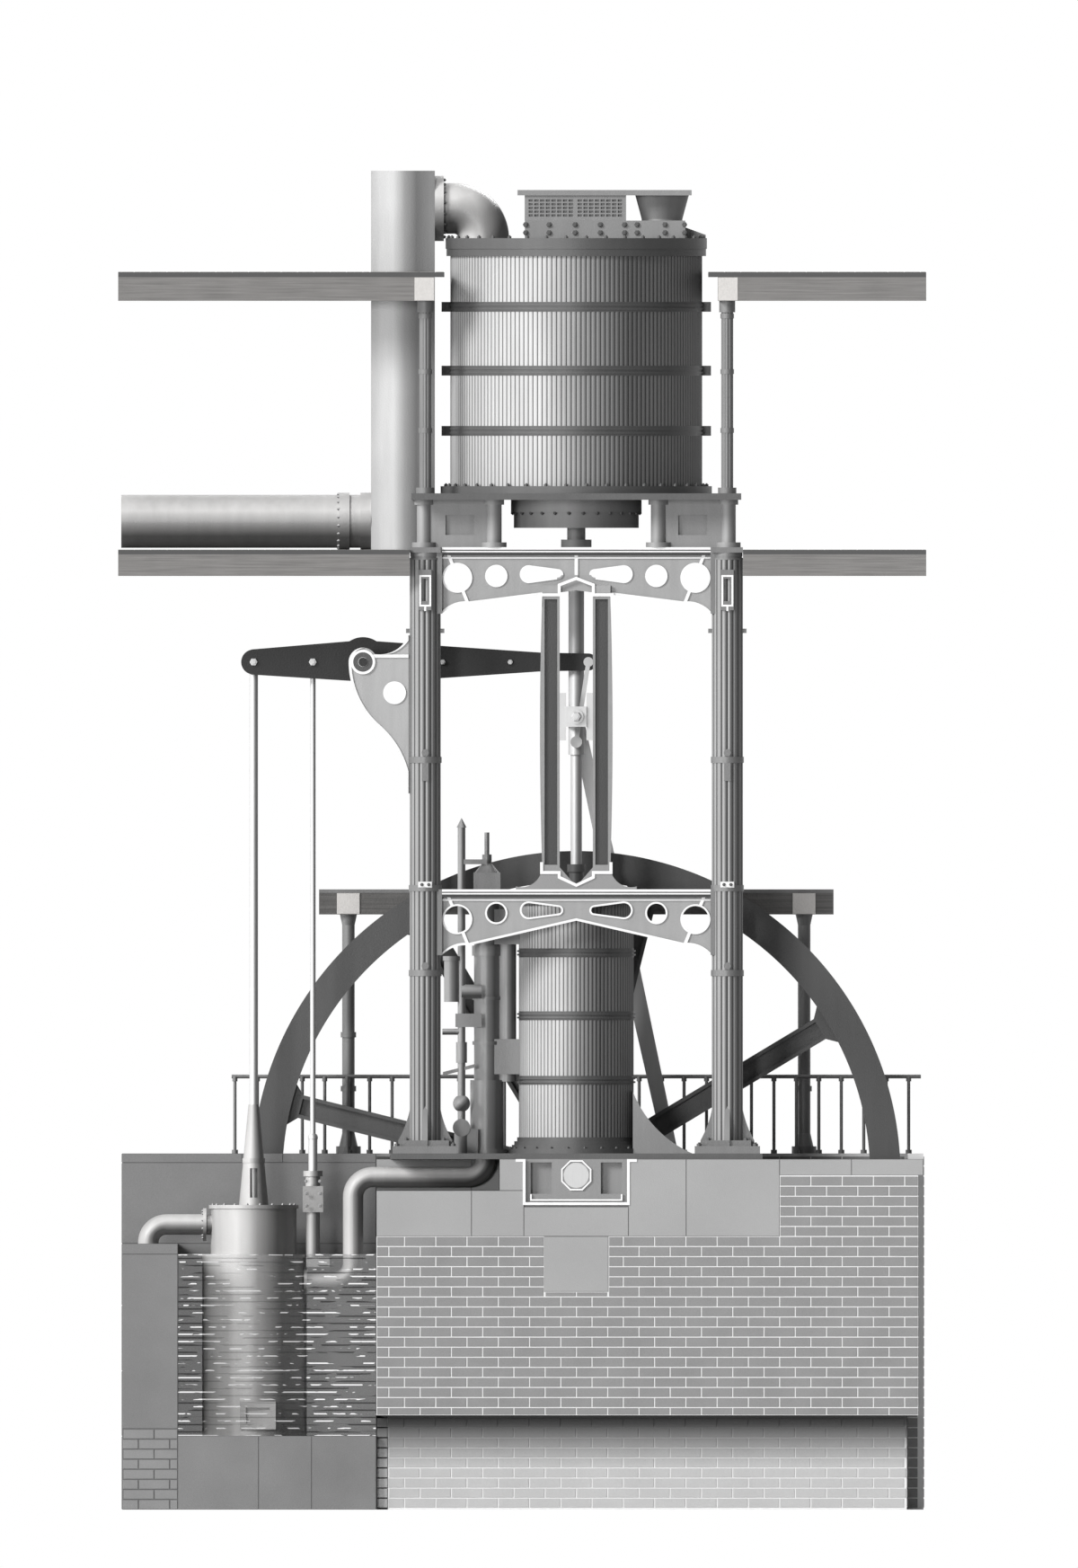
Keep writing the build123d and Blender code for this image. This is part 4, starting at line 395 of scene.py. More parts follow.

# %% [markdown]
# The lagging of both cylinders is painted strip. It has a soft sheen, and the grooves between the
# strips are painted dark as shade: the distance from the axis tells a hollow from a crest. The columns
# are reeded, and their reeds are finished the same way. A cylinder gets painted shade by the place
# across it, a column by the way each face looks.

# %% Lagging and reeds
barrel_radius = 1.529
steam_radius = 0.690
column_x = 1.850
column_radius = 0.180
strip_rise = 0.012


def grooved(name, tone, radius, axes, amount):
    """Painted strips with painted shade: dark where (distance from the axis - radius) / rise is under
    0.42, else pale.
    """
    made = Finish(name, {"Specular IOR Level": 0.25})
    soot = made.noise(0.35, 3.0, (1.0, 1.0, 4.0))
    made.cover(made.blend(soot, grey(tone * 0.8), grey(tone * 1.2)))
    place = made.spot()
    reach = [abs(abs(part) - axis) for part, axis in zip(place, axes)]
    crest = (made.distance(*reach) - radius) / strip_rise
    # Painted shade in the grooves between the strips or reeds.
    made.paint(crest < 0.42, grey(tone * 0.22))
    # Painted light and shade: across a drum by place, on a reed by the way each face looks.
    made.shade(made.normal()[0] if any(axes) else across_drum(made, 0.0, radius), amount)
    made.join(made.shader.inputs["Roughness"], 0.38 + soot * 0.16)
    made.bump(made.noise(0.02, 3.0, (1.0, 1.0, 12.0)), 0.001)
    return made


blowing_paint = grooved("blowing_paint", 0.29, barrel_radius, (0, 0), 1.0)
steam_paint = grooved("steam_paint", 0.29, steam_radius, (0, 0), 1.0)
reed_paint = grooved("reed_paint", 0.20, column_radius, (column_x, frame_depth), 0.75)

# %% [markdown]
# Bricks differ a little from one to the next because of their place in the kiln. Broad noise for the
# wall and finer noise for each face are mixed, over the bricks that are modelled one by one further
# down. Faces that look upwards are weathered to a middle grey. The footing carries a painted shadow,
# dark close under the wall and fading downwards, as the engraver hatched it there.

# %% Brick, mortar and stone
def masonry(name, dark, light, patch, grain_size, grain_depth):
    """Baked or quarried stuff: colour between two greys by broad and fine noise, rough all over."""
    made = Finish(name, {"Roughness": 0.9})
    broad = made.noise(patch)
    fine = made.noise(grain_size, 5.0)
    colour = made.blend(broad * 0.6 + fine * 0.4, grey(dark), grey(light))
    made.cover(colour)
    made.bump(fine, grain_depth)
    return made


brick = masonry("brick", 0.18, 0.29, 0.5, 0.02, 0.003)
mortar = masonry("mortar", 0.62, 0.78, 0.8, 0.01, 0.002)
ashlar = masonry("ashlar", 0.26, 0.39, 1.2, 0.012, 0.002)
pit_stone = masonry("pit_stone", 0.11, 0.27, 1.0, 0.012, 0.002)
footing_brick = masonry("footing_brick", 0.38, 0.50, 0.5, 0.02, 0.003)
joint = masonry("stone_joint", 0.10, 0.16, 0.5, 0.01, 0.001)
foundation_mortar = masonry("foundation_mortar", 0.62, 0.78, 0.8, 0.01, 0.002)
for bed in (mortar, foundation_mortar, joint):
    bed.paint(bed.facing()[2] > 0.7, bed.blend(bed.noise(0.6), grey(0.32), grey(0.44)))
footing_height = 1.155
# Painted shadow under the wall: the bricks and mortar of the footing darken towards its top.
for made in (foundation_mortar, footing_brick):
    level = made.spot()[2] / footing_height
    made.paint((level < 1.0) * ((level - 0.45) * 2.2), grey(0.035))

# %% [markdown]
# Floor timbers are sawn pine, grey with age. The grain runs along the joists, which is left to
# right, so the noise is drawn out along that axis. The ends of the heavy cross timbers are freshly
# cut and pale.

# %% Timber
def wood(name, dark, light, along):
    """Sawn timber: fine lines drawn out along the grain, between two greys."""
    made = Finish(name, {"Roughness": 0.75})
    lines = made.noise(0.02, 4.0, along)
    boards = made.noise(0.5)
    colour = made.blend(lines * 0.75 + boards * 0.25, grey(dark, 0.03), grey(light, 0.03))
    made.cover(colour)
    made.bump(lines, 0.003)
    return made


board_wood = wood("board_wood", 0.10, 0.34, (1.0, 40.0, 1.0))
cut_wood = wood("cut_wood", 0.42, 0.62, (1.0, 8.0, 1.5))


def floor_timber(name, plate_foot):
    """Joists of grained wood under a dark plate, which starts at the height plate_foot."""
    made = wood(name, 0.05, 0.27, (40.0, 1.0, 1.0))
    made.paint(made.spot()[2] > plate_foot, grey(0.06))
    return made


mid_level = 11.748
upper_level = 15.147
mid_timber = floor_timber("mid_timber", mid_level - 0.055)
upper_timber = floor_timber("upper_timber", upper_level - 0.060)
gallery_iron = cast_iron("gallery_iron", 0.15)
gallery_height = gallery_iron.spot()[2]
grain = gallery_iron.noise(0.02, 4.0, (40.0, 1.0, 1.0))
timber_tone = gallery_iron.blend(grain, grey(0.02, 0.03), grey(0.14, 0.03))
joist_foot = 7.285
joist_top = 7.549
gallery_iron.paint((gallery_height > joist_foot) * (gallery_height < joist_top), timber_tone)

# %% [markdown]
# Every node of the construction now gets its finish. Nodes that differ only in being left or right,
# front or back, have one finish.

# %% Finishes of the construction
nodes_of = (
    (foundation_mortar, ["foundation"]),
    (mortar, ["wheel_pit_wall"]),
    (joint, ["ashlar_bed", "pump_pit", "pit_wall"]),
    (wheel_iron, ["flywheel"]),
    (black_iron, ["beam"]),
    (rail_iron, ["railing"]),
    (gallery_iron, ["low_gallery"]),
    (guard_iron, ["steam_guard"]),
    (trunk_iron, ["air_trunk"]),
    (dark_iron, ["bed_plate", "blowing_bed", "blowing_cylinder", "blowing_cover"]),
    (dark_iron, ["steam_cylinder", "steam_cover"]),
    (plate_iron, ["suction_valves", "lower_valve_chest", "valve_pedestal", "main_bearing"]),
    (bracket_iron, ["beam_bracket"]),
    (guide_iron, ["guide"]),
    (girder_iron, ["upper_girder", "lower_girder"]),
    (column_iron, ["column", "upper_column"]),
    (pipe_iron, ["delivery_elbow", "blast_main", "exhaust_pipe", "overflow_pipe"]),
    (pump_iron, ["condenser", "feed_pump"]),
    (gear_iron, ["valve_chest", "valve_gear"]),
    (bright_steel, ["crankshaft", "connecting_rod", "crosshead", "beam_links"]),
    (bright_steel, ["blowing_piston", "steam_piston", "air_pump_rod", "feed_plunger"]),
    (mid_timber, ["mid_floor"]),
    (upper_timber, ["upper_floor"]),
)
finishes = {kind: finish for finish, kinds in nodes_of for kind in kinds}
places = ("left", "right", "front", "back")
for name, node in nodes.items():
    kind = "_".join(word for word in name.split("_") if word not in places)
    node.data.materials.clear()
    node.data.materials.append(finishes[kind].material)
print(len(nodes), "nodes have a finish")

# %% [markdown]
# New pieces are surfaces worked out as whole arrays. A few helpers are all that they need: one lists
# the four corners of every face of a grid, one joins several surfaces, and one puts them into an
# object at the origin, gives it a finish and lets it ride on a body of the engine.

# %% Helpers for surfaces
def grid_faces(rows, columns, wrap_rows=False, wrap_columns=False):
    """Corners of each face of a grid of points, numbered row by row. A wrap joins last to first."""
    row = np.arange(rows if wrap_rows else rows - 1)[:, None]
    column = np.arange(columns if wrap_columns else columns - 1)[None, :]
    next_row = (row + 1) % rows
    next_column = (column + 1) % columns
    corners = [row * columns + column, row * columns + next_column]
    corners += [next_row * columns + next_column, next_row * columns + column]
    shape = (row.size, column.size)
    return np.stack([np.broadcast_to(part, shape) for part in corners], -1).reshape(-1, 4)


def joined(parts):
    """Several sets of points and faces as one."""
    points = np.vstack([part[0] for part in parts])
    starts = np.cumsum([0] + [len(part[0]) for part in parts[:-1]])
    faces = np.vstack([part[1] + start for part, start in zip(parts, starts)])
    return points, faces


def piece(name, parts, finish, body="engine"):
    """Puts parts, each with its points and faces, into one mesh object, which rides on a body."""
    points, faces = joined(parts)
    mesh = bpy.data.meshes.new(name)
    mesh.from_pydata(points.tolist(), [], faces.tolist())
    mesh.update()
    made = put(name, mesh)
    mesh.materials.append(finish.material)
    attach(made, body)
    print(name, len(mesh.polygons), "faces")


# %% [markdown]
# Bricks, stones and boards are all the same form: a slab with its edges taken off, laid on a face.
# The slabs of one wall are worked out together. Each has four points in the wall, four at the
# shoulder and four on its face, drawn in by the bevel. A wall looks forward, backward, left, right
# or up, which is given as three axes: along it, up it and out of it.

# %% Slabs on a face
forward = ((1, 0, 0), (0, 0, 1), (0, -1, 0))
backward = ((-1, 0, 0), (0, 0, 1), (0, 1, 0))
leftward = ((0, -1, 0), (0, 0, 1), (-1, 0, 0))
rightward = ((0, 1, 0), (0, 0, 1), (1, 0, 0))
upward = ((1, 0, 0), (0, 1, 0), (0, 0, 1))
stone_proud = 0.008
stone_bevel = 0.004
slab_root = -0.005


def slabs(rectangles, origin, axes, proud=stone_proud, bevel=stone_bevel):
    """Slabs on a plane: origin + u along + v up + w out, w being slab_root, proud - bevel or proud."""
    left, right, low, top = np.asarray(rectangles, float).T
    rings = []
    for inset, level in ((0.0, slab_root), (0.0, proud - bevel), (bevel, proud)):
        u = np.stack([left + inset, right - inset, right - inset, left + inset], -1)
        v = np.stack([low + inset, low + inset, top - inset, top - inset], -1)
        w = np.full_like(u, level)
        rings.append(np.stack([u, v, w], -1))
    local = np.stack(rings, 1)
    points = np.asarray(origin, float) + local @ np.array(axes, float)
    side = grid_faces(3, 4, wrap_columns=True)
    unit = np.vstack([side, [[3, 2, 1, 0], [8, 9, 10, 11]]])
    faces = unit[None] + 12 * np.arange(len(left))[:, None, None]
    return points.reshape(-1, 3), faces.reshape(-1, 4)


# %% [markdown]
# The wall is in running bond: each course starts half a brick further on. The drawing shows courses
# of 11 dots and bricks of 35, so that is the size here. Bricks at the end of a wall are cut. The
# footing is set back, and bricks a foot deep pack the slot that this leaves beside the pump pit.

# %% Brickwork
course = 11.2 * metres_per_dot
brick_length = 34.8 * metres_per_dot
mortar_gap = 0.014


def bond(left, right, low, top, base=0.0):
    """Rectangles of a running bond cut to a wall: course k is shifted by (k mod 2) x length / 2."""
    courses = np.arange(math.floor((low - base) / course), math.ceil((top - base) / course))
    counts = np.arange(math.floor(left / brick_length) - 1, math.ceil(right / brick_length) + 1)
    k, n = [part.ravel() for part in np.meshgrid(courses, counts, indexing="ij")]
    start = (n + 0.5 * (k % 2)) * brick_length
    u0 = np.maximum(start, left) + mortar_gap / 2
    u1 = np.minimum(start + brick_length, right) - mortar_gap / 2
    v0 = np.maximum(base + k * course, low) + mortar_gap / 2
    v1 = np.minimum(base + (k + 1) * course, top) - mortar_gap / 2
    keep = (u1 - u0 > 0.04) & (v1 - v0 > 0.02)
    return np.stack([u0, u1, v0, v1], -1)[keep]


foundation_low, foundation_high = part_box("foundation")
footing_setback = 0.14
brick_top = height(1376)
key_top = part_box("ashlar_bed")[0].z
key_half = 0.395
stone_right = 2.491
coping_foot = 4.092
base = brick_top - 30 * course
front = foundation_low.y
back = foundation_high.y

walls = []
key_course = base + math.floor((key_top - base) / course) * course
front_parts = (
    (foundation_low.x, foundation_high.x, footing_height, key_course),
    (foundation_low.x, -key_half, key_course, brick_top),
    (key_half, foundation_high.x, key_course, brick_top),
    (-key_half, key_half, key_course, key_top),
    (stone_right, foundation_high.x, brick_top, coping_foot),
)
for part in front_parts:
    walls.append(slabs(bond(*part, base), (0, front, 0), forward))
end_wall = bond(front, back, footing_height, coping_foot, base)
walls.append(slabs(end_wall, (foundation_high.x, 0, 0), rightward))
race_low, race_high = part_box("wheel_pit_wall")
back_wall = bond(-race_high.x, -race_low.x, 0.0, race_high.z, base)
walls.append(slabs(back_wall, (0, race_high.y, 0), backward))
for x, way, flip in ((race_low.x, leftward, -1), (race_high.x, rightward, 1)):
    ends = sorted((flip * (race_low.y + 0.02), flip * race_high.y))
    walls.append(slabs(bond(*ends, 0.0, race_high.z, base), (x, 0, 0), way))
piece("bricks", walls, brick)
foot_left = foundation_low.x + footing_setback
foot_right = foundation_high.x - footing_setback
foot_front = front + footing_setback
packing_depth = 0.3
foot_end = bond(foot_front, back, 0.0, footing_height, base)
foot_wall = bond(foot_left, foot_right, 0.0, footing_height, base)
packing = bond(foundation_low.x, foot_left, 0.0, footing_height, base)
packing_root = (0, foot_front + packing_depth, 0)
footing = [
    slabs(foot_wall, (0, foot_front, 0), forward),
    slabs(foot_end, (foot_right, 0, 0), rightward),
    slabs(packing, packing_root, forward, packing_depth + stone_proud),
]
piece("footing_bricks", footing, footing_brick)

# %% [markdown]
# The pit of the wheel is brick inside too: the back of the foundation, the wall behind the wheel and
# the two ends.

# %% Brick inside the wheel pit
race_back = 2.780
race_half = 4.060
race_top = race_high.z
far_side = bond(-foundation_high.x, -foundation_low.x, 0.0, brick_top, base)
near_side = bond(-race_half, race_half, 0.0, race_top, base)
race_walls = [
    slabs(far_side, (0, back, 0), backward),
    slabs(near_side, (0, race_back, 0), forward),
]
for x, way, flip in ((-race_half, rightward, 1), (race_half, leftward, -1)):
    ends = sorted((flip * (race_low.y + 0.01), flip * race_back))
    race_walls.append(slabs(bond(*ends, 0.0, race_top, base), (x, 0, 0), way))
piece("race_bricks", race_walls, brick)

# %% [markdown]
# The bed under the engine is dressed stone in large blocks with fine joints, and so is the back of
# the pipe trench. The joints are where the engraver drew them.

# %% Dressed stone
def stones(columns, rows, gap=0.008):
    """Rectangles between neighbouring joints: every pair of columns with every pair of rows."""
    u0, u1 = np.array(columns[:-1]), np.array(columns[1:])
    v0, v1 = np.array(rows[:-1]), np.array(rows[1:])
    left, low = [part.ravel() for part in np.meshgrid(u0, v0)]
    right, top = [part.ravel() for part in np.meshgrid(u1, v1)]
    return np.stack([left + gap / 2, right - gap / 2, low + gap / 2, top - gap / 2], -1)


stone_top = 4.290
trench_foot = stone_top - 0.385
trench_right = -0.94
trench_face = 0.165
bearing_half = 0.64
bearing_foot = stone_top - 0.585
coping_end = 4.251
first_joint = across(525)
blocks = [
    stones([foundation_low.x, first_joint], [brick_top, trench_foot]),
    stones([first_joint, -bearing_half], [brick_top, trench_foot]),
    stones([trench_right, -bearing_half], [trench_foot, stone_top]),
    stones([-bearing_half, bearing_half], [brick_top, bearing_foot]),
    stones([bearing_half, across(764), stone_right], [brick_top, stone_top]),
    stones([-key_half, key_half], [key_top, brick_top]),
    stones([stone_right, across(948), coping_end], [coping_foot, stone_top]),
]
bed_stones = slabs(np.vstack(blocks), (0, front, 0), forward)
piece("bed_stones", [bed_stones], ashlar)
trench_stones = stones([foundation_low.x, first_joint, trench_right], [trench_foot, stone_top])
trench_back = slabs(trench_stones, (0, trench_face, 0), forward)
piece("trench_stones", [trench_back], ashlar)

# %% [markdown]
# The pier at the left of the pump pit, its bed and the wall behind it are darker stone.

# %% Stones of the pump pit
pit_low, pit_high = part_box("pump_pit")
pier_right = -4.878
pit_right = foundation_low.x - 0.004
coping_top = height(1384)
coping_joint = coping_top - 0.13
pier_foot = height(1590)
pit_bed = 0.902
lower_joints = [0.0, 0.9, 1.7, 2.5]
wall_joint = height(1294)
pit_blocks = [
    stones([pit_low.x, pier_right], [pier_foot, coping_joint]),
    stones([pit_low.x, pier_right], [coping_joint, pit_high.z]),
    stones([pier_right, across(288), across(347), pit_right], [0.0, pit_bed]),
]
wall_low, wall_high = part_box("pit_wall")
wall_blocks = [
    stones([pit_low.x, pit_right], [pit_high.z, wall_joint]),
    stones([pier_right, pit_right], [pit_bed, *lower_joints[2:], pit_high.z]),
    stones([pit_low.x, across(269.5), across(315), pit_right], [wall_joint, wall_high.z]),
]
wall_end = stones([-wall_high.y, -wall_low.y], [*lower_joints, coping_top, wall_joint, wall_high.z])
pier_end = stones([-pit_high.y, 0.2, -pit_low.y], [*lower_joints, coping_joint, pit_high.z])
pit_stones = [
    slabs(np.vstack(pit_blocks), (0, front, 0), forward),
    slabs(np.vstack(wall_blocks), (0, wall_low.y, 0), forward),
    slabs(wall_end, (wall_low.x, 0, 0), leftward),
    slabs(pier_end, (pit_low.x, 0, 0), leftward),
]
piece("pit_stones", pit_stones, pit_stone)

# %% [markdown]
# The pier's lowest courses are brick in the drawing.

# %% Bricks at the foot of the pier
pier_bond = bond(pit_low.x, pier_right, 0.0, pier_foot)
pier_bricks = slabs(pier_bond, (0, front, 0), forward, stone_proud + 0.002)
piece("pier_bricks", [pier_bricks], brick)

# %% [markdown]
# A turned piece is a closed outline of radius and height, carried round an axis. The outline runs up
# on the outside and down on the inside, so the faces look outwards. A wave of the angle is added to
# the radius, which gives reeds on a column and strips on a lagged barrel.

# %% Turned pieces
def turned(centre, outline, segments, wave, weights):
    """Ring of revolution: x = cx + r cos t, y = cy + r sin t, with r = outline + weight x wave(t)."""
    angle = np.linspace(0, 2 * np.pi, segments, endpoint=False)
    radius, level = np.asarray(outline, float).T
    spread = radius[:, None] + np.asarray(weights, float)[:, None] * wave(angle)[None, :]
    x = centre[0] + spread * np.cos(angle)
    y = centre[1] + spread * np.sin(angle)
    points = np.stack([x, y, np.tile(level[:, None], (1, segments))], -1)
    return points.reshape(-1, 3), grid_faces(len(radius), segments, True, True)


# %% [markdown]
# The blowing cylinder and the steam cylinder are clad in narrow upright strips, held by the
# hoops. In the drawing the strips are the fine upright lines. Each strip is a shallow arch, so the
# wave is the height of an arch repeated round the barrel.

# %% Lagging strips
def strips(centre, radius, low, top, count, rise):
    """Strips on a barrel: r = radius + rise x |sin(count t / 2)|, closed behind inside the barrel."""
    outline = [(radius, low), (radius, top), (radius - 0.01, top), (radius - 0.01, low)]
    weights = [rise, rise, 0, 0]
    return turned(centre, outline, count * 6, lambda t: np.abs(np.sin(t * count / 2)), weights)


def between(foot, first, rings, ring_height, last):
    """Spans between rings: from foot + first up to last, with a gap for each ring."""
    edges = [foot + first]
    for rise in rings:
        edges += [foot + rise, foot + rise + ring_height]
    edges.append(last)
    return list(zip(edges[::2], edges[1::2]))


skin = 0.001
barrel_foot = 12.441
barrel_top = 15.433
floor_level = 4.360
steam_top = floor_level + 3.05
blowing_spans = between(barrel_foot, 0.088, (0.704, 1.441, 2.222), 0.121, barrel_top - 0.088)
steam_spans = between(floor_level, 0.198, (0.84, 1.63, 2.40), 0.110, steam_top)
bands = [strips((0, 0), barrel_radius + skin, *span, 160, strip_rise) for span in blowing_spans]
piece("blowing_lagging", bands, blowing_paint)
bands = [strips((0, 0), steam_radius + skin, *span, 84, strip_rise) for span in steam_spans]
piece("steam_lagging", bands, steam_paint)

# %% [markdown]
# The same arches, wider and fewer, are the reeds of the columns. They run between the shoe, the
# rings and the capital, on the four main columns and on the four slender ones above.

# %% Reeds on the columns
capital_foot = 11.781 - 0.154
slender_top = 14.797 - 0.140
slender_x = 1.848
column_spans = between(floor_level, 0.160, (2.170, 3.210, 4.780), 0.076, capital_foot)
slender_spans = between(barrel_foot, 0.070, (0.740, 1.460, 2.140), 0.060, slender_top)
reeds = []
slender_reeds = []
for side in (-1, 1):
    for y in (-frame_depth, frame_depth):
        for span in column_spans:
            reeds.append(strips((side * column_x, y), column_radius + skin, *span, 16, strip_rise))
        for span in slender_spans:
            slender_reeds.append(strips((side * slender_x, y), 0.069, *span, 10, 0.007))
piece("column_reeds", reeds, reed_paint)
piece("slender_reeds", slender_reeds, column_iron)

# %% [markdown]
# The cut ends of the heavy timbers are the pale squares in the drawing: two under the upper floor and
# two under the gallery. Each is a slab on the end of its timber, at the front and at the back.

# %% Timber ends
upper_low, upper_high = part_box("upper_floor_left")
gallery_low, gallery_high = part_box("low_gallery")
header = np.array([1.737, 1.980, 14.800, 15.084])
post_header = np.array([2.650, 2.930, joist_foot + 0.005, joist_top - 0.003])
ends = []
spans = ((header, upper_low.y, upper_high.y), (post_header, gallery_low.y, gallery_high.y))
for shape, low, high in spans:
    both = np.array([shape, [-shape[1], -shape[0], shape[2], shape[3]]])
    ends.append(slabs(both, (0, low, 0), forward, 0.012, 0.006))
    ends.append(slabs(both, (0, high, 0), backward, 0.012, 0.006))
piece("timber_ends", ends, cut_wood)

# %% [markdown]
# Boards lie across the joists. They leave room for the trunk where it passes the upper floor.

# %% Floor boards
board_width = 0.20
board_gap = 0.006
left_end = upper_low.x
right_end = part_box("upper_floor_right")[1].x
half_depth = upper_high.y


def boards(left, right, near=-half_depth, far=half_depth):
    """Rectangles of boards side by side along the length of a floor."""
    start = np.arange(left, right - 0.02, board_width)
    end = np.minimum(start + board_width, right) - board_gap
    low, top = np.full_like(start, near + 0.004), np.full_like(start, far - 0.004)
    return np.stack([start, end, low, top], -1)


notch_left = trunk_low.x - 0.010
notch_half = trunk_high.y + 0.010
mid_edge = 2.042
upper_edge = 1.617
mid_boards = [boards(left_end, -mid_edge), boards(mid_edge, right_end)]
upper_boards = [
    boards(left_end, notch_left),
    boards(notch_left, -upper_edge, far=-notch_half),
    boards(notch_left, -upper_edge, near=notch_half),
    boards(upper_edge, right_end),
]
laid = [
    slabs(np.vstack(mid_boards), (0, 0, mid_level), upward, 0.004, 0.002),
    slabs(np.vstack(upper_boards), (0, 0, upper_level), upward, 0.006, 0.003),
]
piece("floor_boards", laid, board_wood)

# %% [markdown]
# Nuts and bolt heads hold every flange. One nut is a few faces: a hexagon with its corners taken
# off and the end of the stud. All nuts of one flange are one piece, placed by arrays.

# %% Nuts
def nuts(places, normal, size):
    """Nuts along normal: place + size x (r cos a, r sin a, h), with r and h of each ring below."""
    rings = ((1.0, -0.3), (1.0, 0.7), (0.86, 0.85), (0.5, 0.85), (0.5, 1.25))
    angle = np.arange(6) * np.pi / 3
    normal = np.asarray(normal, float)
    places = np.asarray(places, float).reshape(-1, 3)
    normal = np.broadcast_to(normal, places.shape)
    helper = np.where(np.abs(normal[:, 2:3]) > 0.9, [[1.0, 0, 0]], [[0, 0, 1.0]])
    across_way = np.cross(helper, normal)
    across_way /= np.linalg.norm(across_way, axis=1, keepdims=True)
    up_way = np.cross(normal, across_way)
    shape = [(r * math.cos(a), r * math.sin(a), h) for r, h in rings for a in angle]
    axes = np.stack([across_way, up_way, normal], 1)
    points = places[:, None] + size * np.einsum("kc,ncd->nkd", shape, axes)
    side = grid_faces(5, 6, wrap_columns=True)
    caps = np.array([[24, 25, 26, 27], [24, 27, 28, 29], [3, 2, 1, 0], [5, 4, 3, 0]])
    unit = np.vstack([side, caps])
    faces = unit[None] + 30 * np.arange(len(places))[:, None, None]
    return points.reshape(-1, 3), faces.reshape(-1, 4)


def circle(count, radius, centre, level, upright=True):
    """Places c + r (cos a, sin a), a = 2 pi (n + 0.5) / count, round an upright or a level axis."""
    angle = 2 * np.pi * (np.arange(count) + 0.5) / count
    u, v = centre[0] + radius * np.cos(angle), centre[1] + radius * np.sin(angle)
    flat = np.full(count, level)
    return np.stack([u, v, flat] if upright else [flat, u, v], -1)


cover_level = 15.565
steam_cover_level = 7.590
chest_level = 12.207
elbow_face = -1.622
elbow_level = 15.928
valves_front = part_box("suction_valves")[0].y
lug_columns = [across(column) for column in (585, 611, 640, 668, 695, 709, 740, 762)]
lug_places = [(x, valves_front, height(row)) for x in lug_columns for row in (250, 259)]
shoe = [(x, y) for x in (-0.23, 0.23) for y in (-0.23, 0.23)]
plinth = [(x, y) for x in (-0.345, 0.345) for y in (-0.345, 0, 0.345)]
feet = [(x, y) for x in (-column_x, column_x) for y in (-frame_depth, frame_depth)]
shoe_nuts = [(cx + x, cy + y, floor_level + 0.160) for cx, cy in feet for x, y in shoe]
plinth_nuts = [(cx + x, cy + y, floor_level + 0.090) for cx, cy in feet for x, y in plinth]
iron_nuts = [
    nuts(circle(40, 1.565, (0, 0), cover_level), (0, 0, 1), 0.028),
    nuts(circle(40, 1.60, (0, 0), barrel_foot + 0.088), (0, 0, 1), 0.028),
    nuts(circle(20, 0.71, (0, 0), steam_cover_level), (0, 0, 1), 0.024),
    nuts(circle(24, 0.81, (0, 0), floor_level + 0.060), (0, 0, 1), 0.020),
    nuts(circle(16, 0.355, (0, elbow_level), elbow_face, False), (1, 0, 0), 0.022),
    nuts(lug_places, (0, -1, 0), 0.034),
    nuts(circle(28, 0.783, (0, 0), chest_level), (0, 0, -1), 0.026),
    nuts(shoe_nuts, (0, 0, 1), 0.030),
    nuts(plinth_nuts, (0, 0, 1), 0.036),
]
piece("flange_nuts", iron_nuts, dark_iron)

feed_axis = -3.225
air_pump_axis = -3.950
air_pump_lid = 3.729
main_face = -2.905
main_level = 12.098
overflow_face = -4.571
overflow_level = 3.490
feed_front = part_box("feed_pump")[0].y
feed_nuts = [(feed_axis + x, feed_front, z) for x in (-0.085, 0.085) for z in (3.72, 3.87, 4.02)]
pipe_nuts = [
    nuts(feed_nuts, (0, -1, 0), 0.022),
    nuts(circle(20, 0.337, (0, main_level), main_face, False), (-1, 0, 0), 0.020),
    nuts(circle(20, 0.505, (air_pump_axis, 0), air_pump_lid), (0, 0, 1), 0.018),
    nuts(circle(10, 0.165, (0, overflow_level), overflow_face, False), (-1, 0, 0), 0.016),
]
piece("pipe_nuts", pipe_nuts, gear_iron)

# %% [markdown]
# Pale lips run round the foot and the head of each guide and round the hangers of the columns. Each
# is a ribbon: a band of one width laid along a path on a casting. A path is given in dots of the
# drawing for the left half, and its right half mirrors it about the engine's axis.

# %% Lips of the guides and the hangers
def ribbon(path, width, near, far):
    """Band along a path (x, z): p +- width / 2 x mitre, where the mitre joins neighbouring runs."""
    path = np.asarray(path, float)
    run = np.diff(path, axis=0)
    run /= np.linalg.norm(run, axis=1, keepdims=True)
    square = np.stack([-run[:, 1], run[:, 0]], -1)
    before = np.vstack([square[:1], square])
    after = np.vstack([square, square[-1:]])
    mitre = (before + after) / (1 + np.sum(before * after, axis=1, keepdims=True))
    left, right = path + mitre * width / 2, path - mitre * width / 2
    corners = [(left, near), (left, far), (right, far), (right, near)]
    rings = [np.stack([flat[:, 0], np.full(len(flat), y), flat[:, 1]], -1) for flat, y in corners]
    points = np.stack(rings, 1)
    last = 4 * (len(path) - 1)
    caps = [[3, 2, 1, 0], [last, last + 1, last + 2, last + 3]]
    return points.reshape(-1, 3), np.vstack([grid_faces(len(path), 4, wrap_columns=True), caps])


lip_root = 0.004
lip_proud = 0.012


def both_sides(path, width, face):
    """A ribbon on the front face and one on the back face of a casting."""
    front_lip = ribbon(path, width, -face - lip_proud, -face + lip_root)
    return [front_lip, ribbon(path, width, face - lip_root, face + lip_proud)]


def mirrored(half_path):
    """A path of the drawing's left half with its mirror image, as places on the engine."""
    whole = half_path + [(2 * axis_column - column, row) for column, row in half_path[-2::-1]]
    return [(across(column), height(row)) for column, row in whole]


